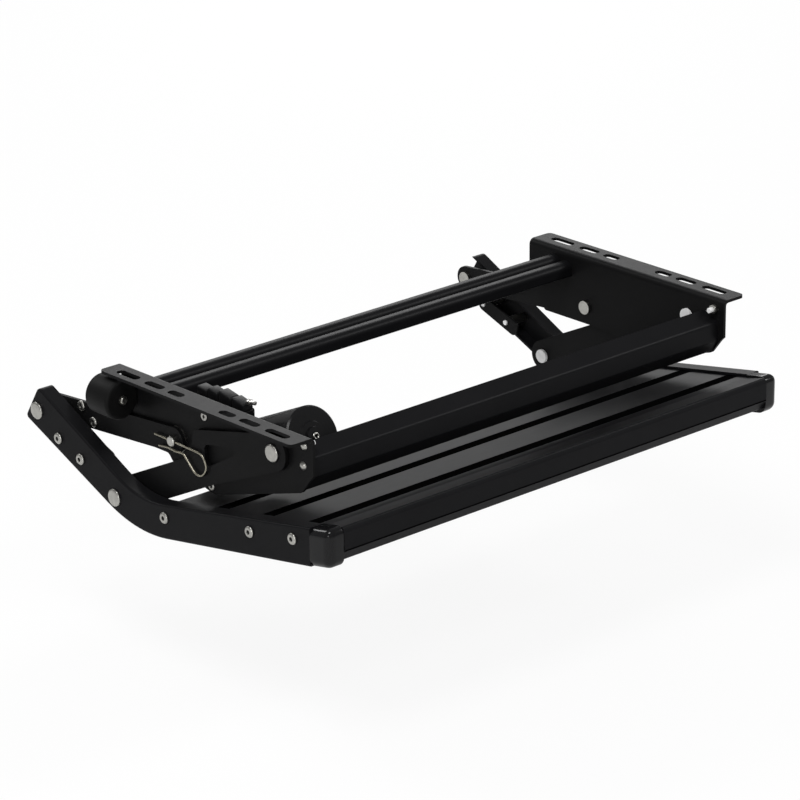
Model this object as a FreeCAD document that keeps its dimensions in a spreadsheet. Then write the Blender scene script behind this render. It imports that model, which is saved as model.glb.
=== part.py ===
import FreeCAD, Part
import math
import os

import Sketcher
from FreeCAD import Placement, Rotation, Vector

# Electric entry step for a caravan: two brackets under the floor carry a motor,
# and a four-bar linkage on each side swings the tread forward and down.
# Millimetres. +Z is up, the flange tops are at Z 0, the nose points to -Y and
# the motor is on the -X side. Side outlines are (Y, Z) pairs.

doc = FreeCAD.newDocument("EntryStep")

SIZES = [
    # name, value, meaning
    ("web_span", 530.0, "between the inner faces of the bracket webs"),
    ("bracket_length", 270.0, "length of each bracket, front to rear"),
    ("bracket_sheet", 3.0, "steel sheet of the brackets"),
    ("flange_reach", 26.0, "flange beyond the outer face of its web"),
    ("bend_radius", 3.0, "inner radius of the bracket bend"),
    ("slot_line", 15.0, "slot centres beyond the outer face of the web"),
    ("slot_width", 9.0, "width of the fixing slots"),
    ("outer_slot_place", 105.0, "outer slots, from the middle of the bracket"),
    ("outer_slot_length", 30.0, "outer slots, overall"),
    ("middle_slot_place", 67.0, "middle slots, from the middle of the bracket"),
    ("middle_slot_length", 25.0, "middle slots, overall"),
    ("inner_slot_place", 36.0, "inner slots, from the middle of the bracket"),
    ("inner_slot_length", 20.0, "inner slots, overall"),
    ("arm_pivot_y", -86.0, "upper pivot of the main arms"),
    ("arm_pivot_z", -26.5, "upper pivot of the main arms"),
    ("link_pivot_y", 54.0, "upper pivot of the rear links"),
    ("link_pivot_z", -53.5, "upper pivot of the rear links"),
    ("tread_pivot_y", 119.0, "pivot between the main arms and the tread"),
    ("tread_pivot_z", -123.5, "pivot between the main arms and the tread"),
    ("rear_pivot_y", 233.5, "pivot between the rear links and the tread"),
    ("rear_pivot_z", -67.5, "pivot between the rear links and the tread"),
    ("layer_gap", 1.0, "from a web to the arms and links beside it"),
    ("arm_thickness", 4.0, "plate of the main arms"),
    ("arm_end_radius", 17.5, "rounded upper end of a main arm"),
    ("arm_foot_radius", 16.0, "rounded lower end of a main arm"),
    ("link_thickness", 3.5, "plate of the rear links"),
    ("link_end_radius", 12.5, "rounded ends of a rear link"),
    ("pivot_radius", 5.0, "pivot pins and rivet shanks"),
    ("pivot_fit", 0.1, "radial clearance of a turning pin"),
    ("turning_gap", 0.2, "side clearance of a turning piece"),
    ("head_radius", 8.5, "outer rivet heads"),
    ("head_height", 2.5, "outer rivet heads"),
    ("inner_head_radius", 7.0, "inner rivet heads"),
    ("inner_head_height", 2.8, "inner rivet heads"),
    ("screw_radius", 2.5, "screw shanks"),
    ("screw_head_radius", 5.5, "screw heads"),
    ("screw_head_height", 2.4, "screw heads"),
    ("channel_gap", 4.0, "from a main arm to the side channel flanges"),
    ("channel_width", 16.0, "side channel, across its flanges"),
    ("channel_bend", 2.2, "outer bend of the side channels"),
    ("channel_sheet", 2.5, "aluminium sheet of the side channels"),
    ("tread_tilt", 10.4, "slope of the folded tread, degrees"),
    ("tread_hinge_gap", 62.0, "nose reach less the tread's length along its slope"),
    ("tread_depth", 33.6, "nose box of the tread, below the ridge line"),
    ("tread_skin", 3.2, "top wall of the tread"),
    ("tread_wall", 2.5, "other walls of the tread"),
    ("tread_nose_reach", 303.0, "nose in front of the tread pivot"),
    ("ridge_lift", 0.0891, "ridge line above the tread pivot, carried back to it"),
    ("channel_front_gap", 27.0, "channel ends behind the nose"),
    ("channel_drop", 4.9, "channel ends below the ridge line at the nose"),
    ("grip_width", 16.5, "grip strip grooves"),
    ("grip_depth", 1.4, "grip strip grooves"),
    ("grip_first", 47.0, "first groove from the nose"),
    ("grip_pitch", 64.0, "groove to groove"),
    ("grip_fit", 0.1, "clearance of a strip in its groove"),
    ("boss_depth", 12.3, "tread screw bosses below the ridge line"),
    ("boss_radius", 5.0, "tread screw bosses"),
    ("cap_width", 18.0, "end cap, along the nose"),
    ("cap_round", 6.0, "rounding of an end cap's outer edges"),
    ("profile_wall", 3.0, "wall of the front profile"),
    ("bar_depth", 26.0, "link cross-bar, along its slope"),
    ("bar_wall", 3.0, "link cross-bar, sheet"),
    ("bar_height", 13.0, "link cross-bar, over its lips"),
    ("plate_sheet", 2.5, "inner plates of the tread hinge"),
    ("spacer_radius", 5.0, "spacers between an inner plate and its channel"),
    ("motor_inset", 49.0, "motor axis inside the left web"),
    ("motor_tilt", 24.8, "motor axis, front end up, degrees"),
    ("motor_radius", 29.5, "motor can"),
    ("motor_length", 88.0, "motor can"),
    ("worm_offset", 32.2, "worm axis below the output axis"),
    ("worm_to_front", 130.5, "output axis to the front face of the motor"),
    ("worm_radius", 17.0, "worm tube of the gearbox"),
    ("worm_tail", 34.0, "worm tube beyond the output axis"),
    ("wheel_case_radius", 30.0, "wheel case of the gearbox"),
    ("case_wall", 1.0, "wheel case inside the worm tube"),
    ("cover_sheet", 3.5, "gearbox cover"),
    ("ear_depth", 14.0, "fixing ears of the gearbox"),
    ("hub_radius", 13.0, "drive hub of the left rear link"),
    ("hub_depth", 22.0, "drive hub inside the gearbox"),
    ("wire_radius", 1.3, "spring wire of the clip"),
    ("clip_place", 2.5, "spring clip beyond the outer face of its link"),
    ("buffer_radius", 19.5, "rubber buffer on the left web"),
    ("buffer_length", 33.0, "rubber buffer, front to rear"),
    ("buffer_overhang", 8.0, "rear rim of the buffer behind its bracket"),
    ("buffer_z", -25.5, "buffer axis"),
    ("buffer_seat", 19.0, "buffer axis beyond the outer face of the web"),
]

sheet = doc.addObject("Spreadsheet::Sheet", "Sizes")
for row, (alias, value, meaning) in enumerate(SIZES, start=1):
    sheet.set("A%d" % row, meaning)
    sheet.set("B%d" % row, str(value))
    sheet.setAlias("B%d" % row, alias)
doc.recompute()


def size(alias):
    """One driving size, read from the sheet."""
    return float(sheet.get(alias))


def cell(alias):
    """The name of one driving size inside an expression."""
    return "Sizes." + alias


LEFT = -1
RIGHT = 1
SIDES = ((LEFT, "left"), (RIGHT, "right"))
YZ_TURN = Rotation(Vector(0, 1, 0), Vector(0, 0, 1), Vector(1, 0, 0), "ZXY")

ARM_PIVOT = (size("arm_pivot_y"), size("arm_pivot_z"))
LINK_PIVOT = (size("link_pivot_y"), size("link_pivot_z"))
TREAD_PIVOT = (size("tread_pivot_y"), size("tread_pivot_z"))
REAR_PIVOT = (size("rear_pivot_y"), size("rear_pivot_z"))

# Layers of the mechanism, as distances from the middle plane
WEB_IN = cell("web_span") + " / 2"
WEB_OUT = WEB_IN + " + " + cell("bracket_sheet")
LAYER = WEB_OUT + " + " + cell("layer_gap")
ARM_OUT = LAYER + " + " + cell("arm_thickness")
LINK_OUT = LAYER + " + " + cell("link_thickness")
CHANNEL_IN = ARM_OUT + " + " + cell("channel_gap")
CHANNEL_OUT = CHANNEL_IN + " + " + cell("channel_width")
CHANNEL_FACE = CHANNEL_OUT + " - " + cell("channel_sheet")

web_in = size("web_span") / 2
web_out = web_in + size("bracket_sheet")
layer_in = web_out + size("layer_gap")
arm_out = layer_in + size("arm_thickness")
link_out = layer_in + size("link_thickness")
channel_in = arm_out + size("channel_gap")
channel_out = channel_in + size("channel_width")
channel_face = channel_out - size("channel_sheet")

# Flat outlines


def place(origin, corners):
    """Corners (Y, Z, radius) measured from an origin, in the part's frame."""
    return [(origin[0] + y, origin[1] + z, radius) for y, z, radius in corners]


def tangent_corner(centre, radius, corner, side):
    """Where a line from a corner touches a round end; side is +1 or -1."""
    reach = math.hypot(corner[0] - centre[0], corner[1] - centre[1])
    bearing = math.atan2(corner[1] - centre[1], corner[0] - centre[0])
    angle = bearing + side * math.acos(radius / reach)
    return (centre[0] + radius * math.cos(angle), centre[1] + radius * math.sin(angle), 0)


def outline_edges(corners):
    """Straight edges joined by tangent arcs round a closed outline."""
    edges = []
    arrivals = []
    departures = []
    for index, (y, z, radius) in enumerate(corners):
        here = Vector(y, z, 0)
        before = Vector(corners[index - 1][0], corners[index - 1][1], 0)
        after_corner = corners[(index + 1) % len(corners)]
        after = Vector(after_corner[0], after_corner[1], 0)
        if radius == 0:
            arrivals.append(here)
            departures.append(here)
            continue
        back = (before - here).normalize()
        onward = (after - here).normalize()
        half = back.getAngle(onward) / 2
        reach = radius / math.tan(half)
        inward = (back + onward).normalize()
        middle = here + inward * (radius / math.sin(half) - radius)
        arrivals.append(here + back * reach)
        departures.append(here + onward * reach)
        edges.append(Part.Arc(arrivals[-1], middle, departures[-1]))
    for index, start in enumerate(departures):
        finish = arrivals[(index + 1) % len(arrivals)]
        if start.distanceToPoint(finish) > 0.001:
            edges.append(Part.LineSegment(start, finish))
    return edges


def inset(corners, distances):
    """An outline moved inward, each edge by its own distance."""
    count = len(corners)
    area = sum(corners[i - 1][0] * corners[i][1] - corners[i][0] * corners[i - 1][1]
               for i in range(count))
    turn = 1 if area > 0 else -1
    lines = []
    for index in range(count):
        start = Vector(corners[index][0], corners[index][1], 0)
        after = corners[(index + 1) % count]
        along = (Vector(after[0], after[1], 0) - start).normalize()
        normal = Vector(-along.y, along.x, 0) * turn
        lines.append((start + normal * distances[index], along, normal))
    moved = []
    for index in range(count):
        point, along, normal = lines[index - 1]
        other_point, other_along, other_normal = lines[index]
        travel = (other_point - point).dot(other_normal) / along.dot(other_normal)
        corner = point + along * travel
        bend = along.cross(other_along).z * turn
        radius = corners[index][2]
        if radius > 0:
            radius = radius - distances[index] * (1 if bend > 0 else -1)
        moved.append((corner.x, corner.y, max(radius, 0)))
    return moved


def strip(path, thickness):
    """The closed outline of bent sheet that lies to the left of a path."""
    points = [Vector(y, z, 0) for y, z, radius in path]
    far = []
    for index, point in enumerate(points):
        normals = []
        for first, second in ((index - 1, index), (index, index + 1)):
            if first >= 0 and second < len(points):
                along = (points[second] - points[first]).normalize()
                normals.append(Vector(-along.y, along.x, 0))
        mean = normals[0] if len(normals) == 1 else (normals[0] + normals[1]).normalize()
        far_point = point + mean * (thickness / mean.dot(normals[0]))
        bend = 0
        if len(normals) == 2:
            bend = normals[0].cross(normals[1]).z
        radius = path[index][2]
        if radius > 0:
            radius = radius - thickness if bend > 0 else radius + thickness
        far.append((far_point.x, far_point.y, max(radius, 0)))
    return list(path) + far[::-1]

# Bodies, sketches and turned pieces

NODES = []


def new_body(label, node=True):
    body = doc.addObject("PartDesign::Body", label)
    body.Label = label
    if node:
        NODES.append(body)
    return body


def new_sketch(body, role, offset):
    """A sketch on one of the body's own origin planes, moved along its normal."""
    sketch = body.newObject("Sketcher::SketchObject", body.Name + "Sketch")
    planes = [item for item in body.Origin.OriginFeatures if item.Role == role]
    sketch.AttachmentSupport = [(planes[0], "")]
    sketch.MapMode = "FlatFace"
    sketch.setExpression("AttachmentOffset.Base.z", offset)
    return sketch


def draw_circle(sketch, centre, radius):
    """A circle whose radius follows an expression."""
    circle = Part.Circle(Vector(centre[0], centre[1], 0), Vector(0, 0, 1), 1)
    index = sketch.addGeometry(circle, False)
    constraint = sketch.addConstraint(Sketcher.Constraint("Radius", index, 1.0))
    sketch.setExpression("Constraints[%d]" % constraint, radius)


def pad(body, sketch, length, reversed_way=False):
    feature = body.newObject("PartDesign::Pad", body.Name + "Pad")
    feature.Profile = sketch
    feature.setExpression("Length", length)
    feature.Reversed = reversed_way
    sketch.Visibility = False
    return feature


def pocket(body, sketch, length, reversed_way=True):
    """Cuts along the sketch's normal, or against it when not reversed."""
    doc.recompute()
    before = body.Shape.Volume
    feature = body.newObject("PartDesign::Pocket", body.Name + "Pocket")
    feature.Profile = sketch
    feature.setExpression("Length", length)
    feature.Reversed = reversed_way
    doc.recompute()
    if not body.Shape.Volume < before:
        raise ValueError(body.Label + ": a pocket cuts nothing")
    return feature


def start_x(side, inner, outer):
    """Where a pad along +X starts, for a layer on one side."""
    return inner if side == RIGHT else "-(" + outer + ")"


def plate(label, side, inner, outer, corners, discs=(), holes=(), windows=()):
    """A flat plate in a side layer: outline, round ends, holes and openings."""
    body = new_body(label)
    start = start_x(side, inner, outer)
    thickness = "(" + outer + ") - (" + inner + ")"
    sketch = new_sketch(body, "YZ_Plane", start)
    sketch.addGeometry(outline_edges(corners), False)
    pad(body, sketch, thickness)
    for centre, radius in discs:
        disc = new_sketch(body, "YZ_Plane", start)
        draw_circle(disc, centre, radius)
        pad(body, disc, thickness)
    if holes or windows:
        cuts = new_sketch(body, "YZ_Plane", start)
        for centre, radius in holes:
            draw_circle(cuts, centre, radius)
        for window in windows:
            cuts.addGeometry(outline_edges(window), False)
        pocket(body, cuts, thickness)
    return body


def prism(label, start, length, corners, windows=(), node=True):
    """A straight piece along X with open cells."""
    body = new_body(label, node)
    sketch = new_sketch(body, "YZ_Plane", start)
    sketch.addGeometry(outline_edges(corners), False)
    for window in windows:
        sketch.addGeometry(outline_edges(window), False)
    pad(body, sketch, length)
    return body


def turned(label, steps, centre, side, node=False):
    """A round piece along X: steps are (distance from the middle plane, radius)."""
    corners = [(steps[0][0] * side, 0, 0)]
    corners += [(distance * side, radius, 0) for distance, radius in steps]
    corners += [(steps[-1][0] * side, 0, 0)]
    body = new_body(label, node)
    sketch = new_sketch(body, "XY_Plane", "0")
    sketch.addGeometry(outline_edges(corners), False)
    turn = body.newObject("PartDesign::Revolution", body.Name + "Turn")
    turn.Profile = sketch
    turn.ReferenceAxis = (sketch, ["H_Axis"])
    turn.Angle = 360
    body.Placement = Placement(Vector(0, centre[0], centre[1]), Rotation())
    return body


def group(label, pieces):
    """Like pieces that share one file."""
    compound = doc.addObject("Part::Compound", label)
    compound.Label = label
    compound.Links = pieces
    NODES.append(compound)
    return compound


def headed(label, seat, tip, centre, side, radius, head_radius, head_height):
    """A shank from its head's seat to its tip, with a flat head."""
    outward = 1 if seat > tip else -1
    steps = [(tip, radius), (seat, radius), (seat, head_radius),
             (seat + outward * head_height, head_radius)]
    return turned(label, steps, centre, side)


# Brackets

bracket_rear = size("bracket_length") / 2
bracket_front = -bracket_rear
SCREW_LOW = (7.0, -87.0)
SCREW_HIGH = (15.2, -20.5)
NOSE_SCREW_HIGH = (bracket_front + 12.0, -10.6)
NOSE_SCREW_LOW = (bracket_front + 13.5, -30.0)


def bracket_outline(side):
    """The web's outline; the left one carries a tongue for the gearbox."""
    front = [(12.0, -92.0, 6), (1.0, -93.5, 6), (bracket_front + 15.5, -57.0, 8),
             (bracket_front + 4.0, -42.0, 6), (bracket_front, -38.0, 0), (bracket_front, 0.0, 0)]
    rear = [(bracket_rear, 0.0, 0), (bracket_rear, -38.0, 4), (bracket_rear - 16.0, -62.0, 6),
            (bracket_rear - 23.0, -71.0, 4)]
    if side == LEFT:
        return rear + [(68.0, -71.0, 6), (62.0, -78.0, 6)] + front
    return rear + [(16.0, -71.0, 6)] + front


def slot(place_y, length):
    """One fixing slot as an outline about the slot line; it runs along Y."""
    half_width = size("slot_width") / 2
    half = length / 2
    rounding = half_width - 0.01
    centre = web_out + size("slot_line")
    return [(centre + half_width, place_y + half, rounding),
            (centre - half_width, place_y + half, rounding),
            (centre - half_width, place_y - half, rounding),
            (centre + half_width, place_y - half, rounding)]


def bracket(side, name):
    """Web and flange from one bent sheet, with slots and pivot holes."""
    body = new_body(name + "_bracket")
    web = new_sketch(body, "YZ_Plane", start_x(side, WEB_IN, WEB_OUT))
    web.addGeometry(outline_edges(bracket_outline(side)), False)
    pad(body, web, cell("bracket_sheet"))
    edge = web_out + size("flange_reach")
    flange_outline = [(web_in, bracket_rear, 0), (web_in, bracket_front, 0), (edge, bracket_front, 5),
                      (edge, bracket_rear, 5)]
    flange = new_sketch(body, "XY_Plane", "0")
    flange.addGeometry(outline_edges([(side * x, y, r) for x, y, r in flange_outline]), False)
    pad(body, flange, cell("bracket_sheet"), reversed_way=True)
    cuts = new_sketch(body, "XY_Plane", "0")
    slots = (("outer_slot_place", "outer_slot_length"), ("middle_slot_place", "middle_slot_length"),
             ("inner_slot_place", "inner_slot_length"))
    for place_name, length_name in slots:
        for end in (-1, 1):
            corners = slot(end * size(place_name), size(length_name))
            cuts.addGeometry(outline_edges([(side * x, y, r) for x, y, r in corners]), False)
    pocket(body, cuts, cell("bracket_sheet"), reversed_way=False)
    holes = new_sketch(body, "YZ_Plane", start_x(side, WEB_IN, WEB_OUT))
    draw_circle(holes, ARM_PIVOT, cell("pivot_radius") + " + " + cell("pivot_fit"))
    link_hole = "hub_radius" if side == LEFT else "pivot_radius"
    draw_circle(holes, LINK_PIVOT, cell(link_hole) + " + " + cell("pivot_fit"))
    screws = [SCREW_LOW, NOSE_SCREW_HIGH, NOSE_SCREW_LOW]
    if side == LEFT:
        screws.append(SCREW_HIGH)
    for centre in screws:
        draw_circle(holes, centre, cell("screw_radius") + " + " + cell("pivot_fit"))
    pocket(body, holes, cell("bracket_sheet"))
    for x_place, z_place, radius in (
            (web_in, 0.0, cell("bend_radius") + " + " + cell("bracket_sheet")),
            (web_out, -size("bracket_sheet"), cell("bend_radius"))):
        names = []
        for index, edge_shape in enumerate(body.Shape.Edges, start=1):
            box = edge_shape.BoundBox
            near_x = abs(box.Center.x - side * x_place) < 0.01 and box.XLength < 0.01
            near_z = abs(box.Center.z - z_place) < 0.01 and box.ZLength < 0.01
            if near_x and near_z and box.YLength > size("bracket_length") / 2:
                names.append("Edge%d" % index)
        folded = body.Tip
        bend = body.newObject("PartDesign::Fillet", body.Name + "Bend")
        bend.Base = (folded, names)
        bend.setExpression("Radius", radius)
        body.Tip = bend
        doc.recompute()
    return body


def front_profile():
    """Folded front cover between the webs: bevel, face, chamfer and return."""
    path = [(bracket_front + 30.6, -62.4, 0), (bracket_front + 14.0, -54.5, 3),
            (bracket_front + 7.0, -41.8, 4), (bracket_front + 7.5, -23.3, 4),
            (bracket_front + 24.5, -14.0, 0)]
    body = prism("front_profile", "-" + cell("web_span") + " / 2", cell("web_span"),
                 strip(path[::-1], size("profile_wall")))
    boss = new_sketch(body, "YZ_Plane", "-" + cell("web_span") + " / 2")
    draw_circle(boss, NOSE_SCREW_LOW, cell("boss_radius"))
    pad(body, boss, cell("web_span"))
    bore = new_sketch(body, "YZ_Plane", "-" + cell("web_span") + " / 2")
    draw_circle(bore, NOSE_SCREW_LOW, cell("screw_radius"))
    pocket(body, bore, cell("web_span"))
    return body


def rear_profile():
    """Extruded cross-member behind the motor with two round ridges."""
    front = bracket_rear - 61.5
    outer = [(front + 34.0, -26.0, 2), (front + 34.0, -16.0, 0), (front + 33.0, -8.0, 7),
             (front + 18.0, -8.0, 7), (front + 17.5, -19.0, 0), (front + 16.0, -11.0, 7),
             (front + 1.0, -11.0, 7), (front, -26.0, 2)]
    cells = []
    for low, top in ((front + 3.0, -14.0), (front + 20.0, -11.0)):
        high = low + 11.0
        cells.append([(high, -23.5, 2), (high, top, 5), (low, top, 5), (low, -23.5, 2)])
    return prism("rear_profile", "-" + cell("web_span") + " / 2", cell("web_span"), outer, cells)


# Linkage


def main_arm(side, name):
    """Cranked arm with a triangular opening, from the front pivot to the tread."""
    shoulder, elbow, belly = place(ARM_PIVOT, [(111.5, -8.4, 9), (116.0, -35.9, 12), (86.0, -56.0, 60)])
    opening = place(ARM_PIVOT, [(96.5, -18.5, 6), (36.0, -7.5, 4), (94.5, -41.5, 5)])
    top = size("arm_end_radius")
    foot = size("arm_foot_radius")
    corners = [tangent_corner(ARM_PIVOT, top, shoulder, 1), shoulder, elbow,
               tangent_corner(TREAD_PIVOT, foot, elbow, -1), TREAD_PIVOT + (0,),
               tangent_corner(TREAD_PIVOT, foot, belly, 1), belly,
               tangent_corner(ARM_PIVOT, top, belly, -1), ARM_PIVOT + (0,)]
    bore = cell("pivot_radius") + " + " + cell("pivot_fit")
    return plate(name + "_main_arm", side, LAYER, ARM_OUT, corners,
                 discs=((ARM_PIVOT, cell("arm_end_radius")), (TREAD_PIVOT, cell("arm_foot_radius"))),
                 holes=((ARM_PIVOT, bore), (TREAD_PIVOT, bore)), windows=(opening,))


def along_link(distance, across):
    """A point along the rear link from its upper pivot, and beside its line."""
    run = Vector(REAR_PIVOT[0] - LINK_PIVOT[0], REAR_PIVOT[1] - LINK_PIVOT[1], 0).normalize()
    return (LINK_PIVOT[0] + run.x * distance - run.y * across,
            LINK_PIVOT[1] + run.y * distance + run.x * across)


link_length = math.hypot(REAR_PIVOT[0] - LINK_PIVOT[0], REAR_PIVOT[1] - LINK_PIVOT[1])
BAR_REACH = 128.3
BAR_TILT = 34.0
BAR_SCREWS = (10.6, -10.6)


def bar_point(along, across):
    """A point of the cross-bar: along its slope, rear and up positive."""
    centre = along_link(BAR_REACH, 1.3)
    tilt = math.radians(BAR_TILT)
    return (centre[0] + along * math.cos(tilt) - across * math.sin(tilt),
            centre[1] + along * math.sin(tilt) + across * math.cos(tilt))


def rear_link(side, name):
    """Straight strap with round ends between the rear pivots."""
    reach = size("link_end_radius")
    corners = [along_link(0, reach) + (0,), along_link(link_length, reach) + (0,),
               along_link(link_length, -reach) + (0,), along_link(0, -reach) + (0,)]
    bore = cell("pivot_radius") + (" + " + cell("pivot_fit"))
    screw = cell("screw_radius") + " + " + cell("pivot_fit")
    holes = [(LINK_PIVOT, bore), (REAR_PIVOT, bore)]
    holes += [(bar_point(along, 0), screw) for along in BAR_SCREWS]
    end = cell("link_end_radius")
    return plate(name + "_rear_link", side, LAYER, LAYER + " + " + cell("link_thickness"),
                 corners, discs=((LINK_PIVOT, end), (REAR_PIVOT, end)), holes=holes)


def link_cross_bar():
    """Closed flat extrusion that ties the two rear links, with two screw tubes."""
    half = size("bar_depth") / 2
    rise = size("bar_height") / 2
    corners = [bar_point(half, rise * 0.5) + (2,), bar_point(half * 0.6, rise) + (3,),
               bar_point(-half * 0.6, rise) + (3,), bar_point(-half, rise * 0.5) + (2,),
               bar_point(-half, -rise * 0.5) + (2,), bar_point(-half * 0.6, -rise) + (3,),
               bar_point(half * 0.6, -rise) + (3,), bar_point(half, -rise * 0.5) + (2,)]
    middle_half = 4.0
    wall = size("bar_wall")
    window = [bar_point(middle_half, rise - wall) + (1,), bar_point(-middle_half, rise - wall) + (1,),
              bar_point(-middle_half, wall - rise) + (1,), bar_point(middle_half, wall - rise) + (1,)]
    body = prism("link_cross_bar", "-(" + LAYER + ")", "2 * (" + LAYER + ")", corners, (window,))
    bores = new_sketch(body, "YZ_Plane", "-(" + LAYER + ")")
    for along in BAR_SCREWS:
        draw_circle(bores, bar_point(along, 0), cell("screw_radius"))
    pocket(body, bores, "2 * (" + LAYER + ")")
    return body


# Tread

tilt = math.radians(size("tread_tilt"))
nose_rise = size("tread_nose_reach") * math.tan(tilt) + size("ridge_lift")
nose = (TREAD_PIVOT[0] - size("tread_nose_reach"), TREAD_PIVOT[1] + nose_rise)
tread_length = size("tread_nose_reach") - size("tread_hinge_gap")


def on_tread(along, depth):
    """A point of the tread: along its slope from the nose, below the ridge line."""
    return (nose[0] + along * math.cos(tilt) - depth * math.sin(tilt),
            nose[1] - along * math.sin(tilt) - depth * math.cos(tilt))


def tread_corners(corners):
    """Corners (along, depth, radius) as an outline in the part's frame."""
    return [on_tread(along, depth) + (radius,) for along, depth, radius in corners]


BOSS_PLACES = (52.6, 112.5, tread_length - 5.0)
CAP_END = 27.4
CAP_END_LOW = 34.2
CAP_FOOT = 37.4
top_depth = size("channel_sheet") + 0.1
under_skin = top_depth + size("tread_skin")
grip_places = [size("grip_first") + index * size("grip_pitch") for index in range(3)]


def cap_rear(depth):
    """Where the rear face of an end cap lies at a depth below the ridge line."""
    return CAP_END + (CAP_END_LOW - CAP_END) * depth / CAP_FOOT


def tread_plate():
    """One extrusion: nose box, ribbed top with grooves, and three screw tubes."""
    depth = size("tread_depth")
    wall = size("tread_wall")
    box = 58.0
    rib = BOSS_PLACES[1]
    end = tread_length
    half_wall = wall / 2
    outer = tread_corners([
        (3.0, 1.0, 2), (27.0, top_depth, 0), (end, top_depth, 1),
        (end, 9.0, 0), (end - wall, 9.0, 0), (end - wall, under_skin, 1),
        (rib + half_wall, under_skin, 1), (rib + half_wall, 9.0, 0), (rib - half_wall, 9.0, 0),
        (rib - half_wall, under_skin, 1), (box, under_skin, 1), (box, depth, 3),
        (12.5, depth, 5), (4.5, 24.0, 3), (1.5, 6.0, 3)])
    hollow = tread_corners([
        (box - wall, under_skin, 1), (box - wall, depth - wall, 2), (14.5, depth - wall, 3),
        (7.5, 24.0, 2), (5.5, under_skin, 1)])
    body = prism("tread_plate", "-(" + CHANNEL_FACE + " - 0.2)", "2 * (" + CHANNEL_FACE + " - 0.2)",
                 outer, (hollow,))
    start = "-(" + CHANNEL_FACE + " - 0.2)"
    length = "2 * (" + CHANNEL_FACE + " - 0.2)"
    centres = [on_tread(along, size("boss_depth")) for along in BOSS_PLACES]
    bosses = new_sketch(body, "YZ_Plane", start)
    for centre in centres[1:]:
        draw_circle(bosses, centre, cell("boss_radius"))
    pad(body, bosses, length)
    front_boss = new_sketch(body, "YZ_Plane", start)
    draw_circle(front_boss, centres[0], cell("boss_radius"))
    pad(body, front_boss, length)
    cuts = new_sketch(body, "YZ_Plane", start)
    for centre in centres:
        draw_circle(cuts, centre, cell("screw_radius"))
    half_grip = size("grip_width") / 2
    floor = top_depth + size("grip_depth")
    for along in grip_places:
        cuts.addGeometry(outline_edges(tread_corners([
            (along - half_grip, top_depth - 4, 0), (along + half_grip, top_depth - 4, 0),
            (along + half_grip, floor, 0), (along - half_grip, floor, 0)])), False)
    pocket(body, cuts, length)
    for side in (LEFT, RIGHT):
        notch = new_sketch(body, "YZ_Plane", start_x(side, CHANNEL_IN + " - 2", CHANNEL_OUT))
        notch.addGeometry(outline_edges(tread_corners([
            (-6.0, -6.0, 0), (cap_rear(-6.0) + 0.2, -6.0, 0), (cap_rear(44.0) + 0.2, 44.0, 0),
            (-6.0, 44.0, 0)])), False)
        pocket(body, notch, "(" + CHANNEL_OUT + ") - (" + CHANNEL_IN + " - 2)")
    return body


def grip_strips():
    """Three inserts that lie in the grooves of the tread."""
    fit = size("grip_fit")
    half_grip = size("grip_width") / 2 - fit
    floor = top_depth + size("grip_depth")
    strips = []
    for index, along in enumerate(grip_places):
        strips.append(prism(
            "grip_strip_%d" % (index + 1), "-(" + CHANNEL_IN + " - 3)", "2 * (" + CHANNEL_IN + " - 3)",
            tread_corners([(along - half_grip, top_depth + 0.3, 0), (along + half_grip, top_depth + 0.3, 0),
                           (along + half_grip, floor, 0), (along - half_grip, floor, 0)]), node=False))
    return group("tread_grip_strips", strips)


def channel_corners():
    """Outline of a side channel, bent upward at the tread's rear edge."""
    front = size("channel_front_gap") - size("tread_nose_reach")
    top = nose_rise - size("channel_drop")
    return place(TREAD_PIVOT, [
        (113.0, 80.3, 6), (-35.0, 6.5, 110), (front, top, 0),
        (front, top - CAP_FOOT, 0), (-30.0, -27.9, 150), (134.0, 45.5, 4)])


PLATE_SCREWS = ((82.8, 36.5), (50.0, 24.5))


def side_channel(side, name):
    """Cranked C-section at each end of the tread, open towards the middle."""
    body = new_body(name + "_side_channel")
    corners = channel_corners()
    sketch = new_sketch(body, "YZ_Plane", start_x(side, CHANNEL_IN, CHANNEL_OUT))
    sketch.addGeometry(outline_edges(corners), False)
    pad(body, sketch, cell("channel_width"))
    doc.recompute()
    names = []
    for index, edge in enumerate(body.Shape.Edges, start=1):
        box = edge.BoundBox
        outer_edge = box.XLength < 0.01 and abs(box.Center.x - side * channel_out) < 0.01
        if outer_edge and box.YLength > 25:
            names.append("Edge%d" % index)
    solid = body.Tip
    bend = body.newObject("PartDesign::Fillet", body.Name + "Bend")
    bend.Base = (solid, names)
    bend.setExpression("Radius", cell("channel_bend"))
    wall = size("channel_sheet")
    hollow = inset(corners, [wall, wall, -6.0, wall, wall, -6.0])
    inner = start_x(side, CHANNEL_IN, CHANNEL_FACE)
    cut = new_sketch(body, "YZ_Plane", inner)
    cut.addGeometry(outline_edges(hollow), False)
    pocket(body, cut, cell("channel_width") + " - " + cell("channel_sheet"))
    holes = new_sketch(body, "YZ_Plane", start_x(side, CHANNEL_FACE, CHANNEL_OUT))
    for centre in (TREAD_PIVOT, REAR_PIVOT):
        draw_circle(holes, centre, cell("pivot_radius"))
    for place_yz in screw_places():
        draw_circle(holes, place_yz, cell("screw_radius"))
    pocket(body, holes, cell("channel_sheet"))
    return body


def hinge_screw_places():
    """The two screws behind the tread that carry an inner plate."""
    return [(TREAD_PIVOT[0] + y, TREAD_PIVOT[1] + z) for y, z in PLATE_SCREWS]


def screw_places():
    """All screws through the outer face of a side channel."""
    return hinge_screw_places() + [on_tread(along, size("boss_depth")) for along in BOSS_PLACES]


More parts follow.
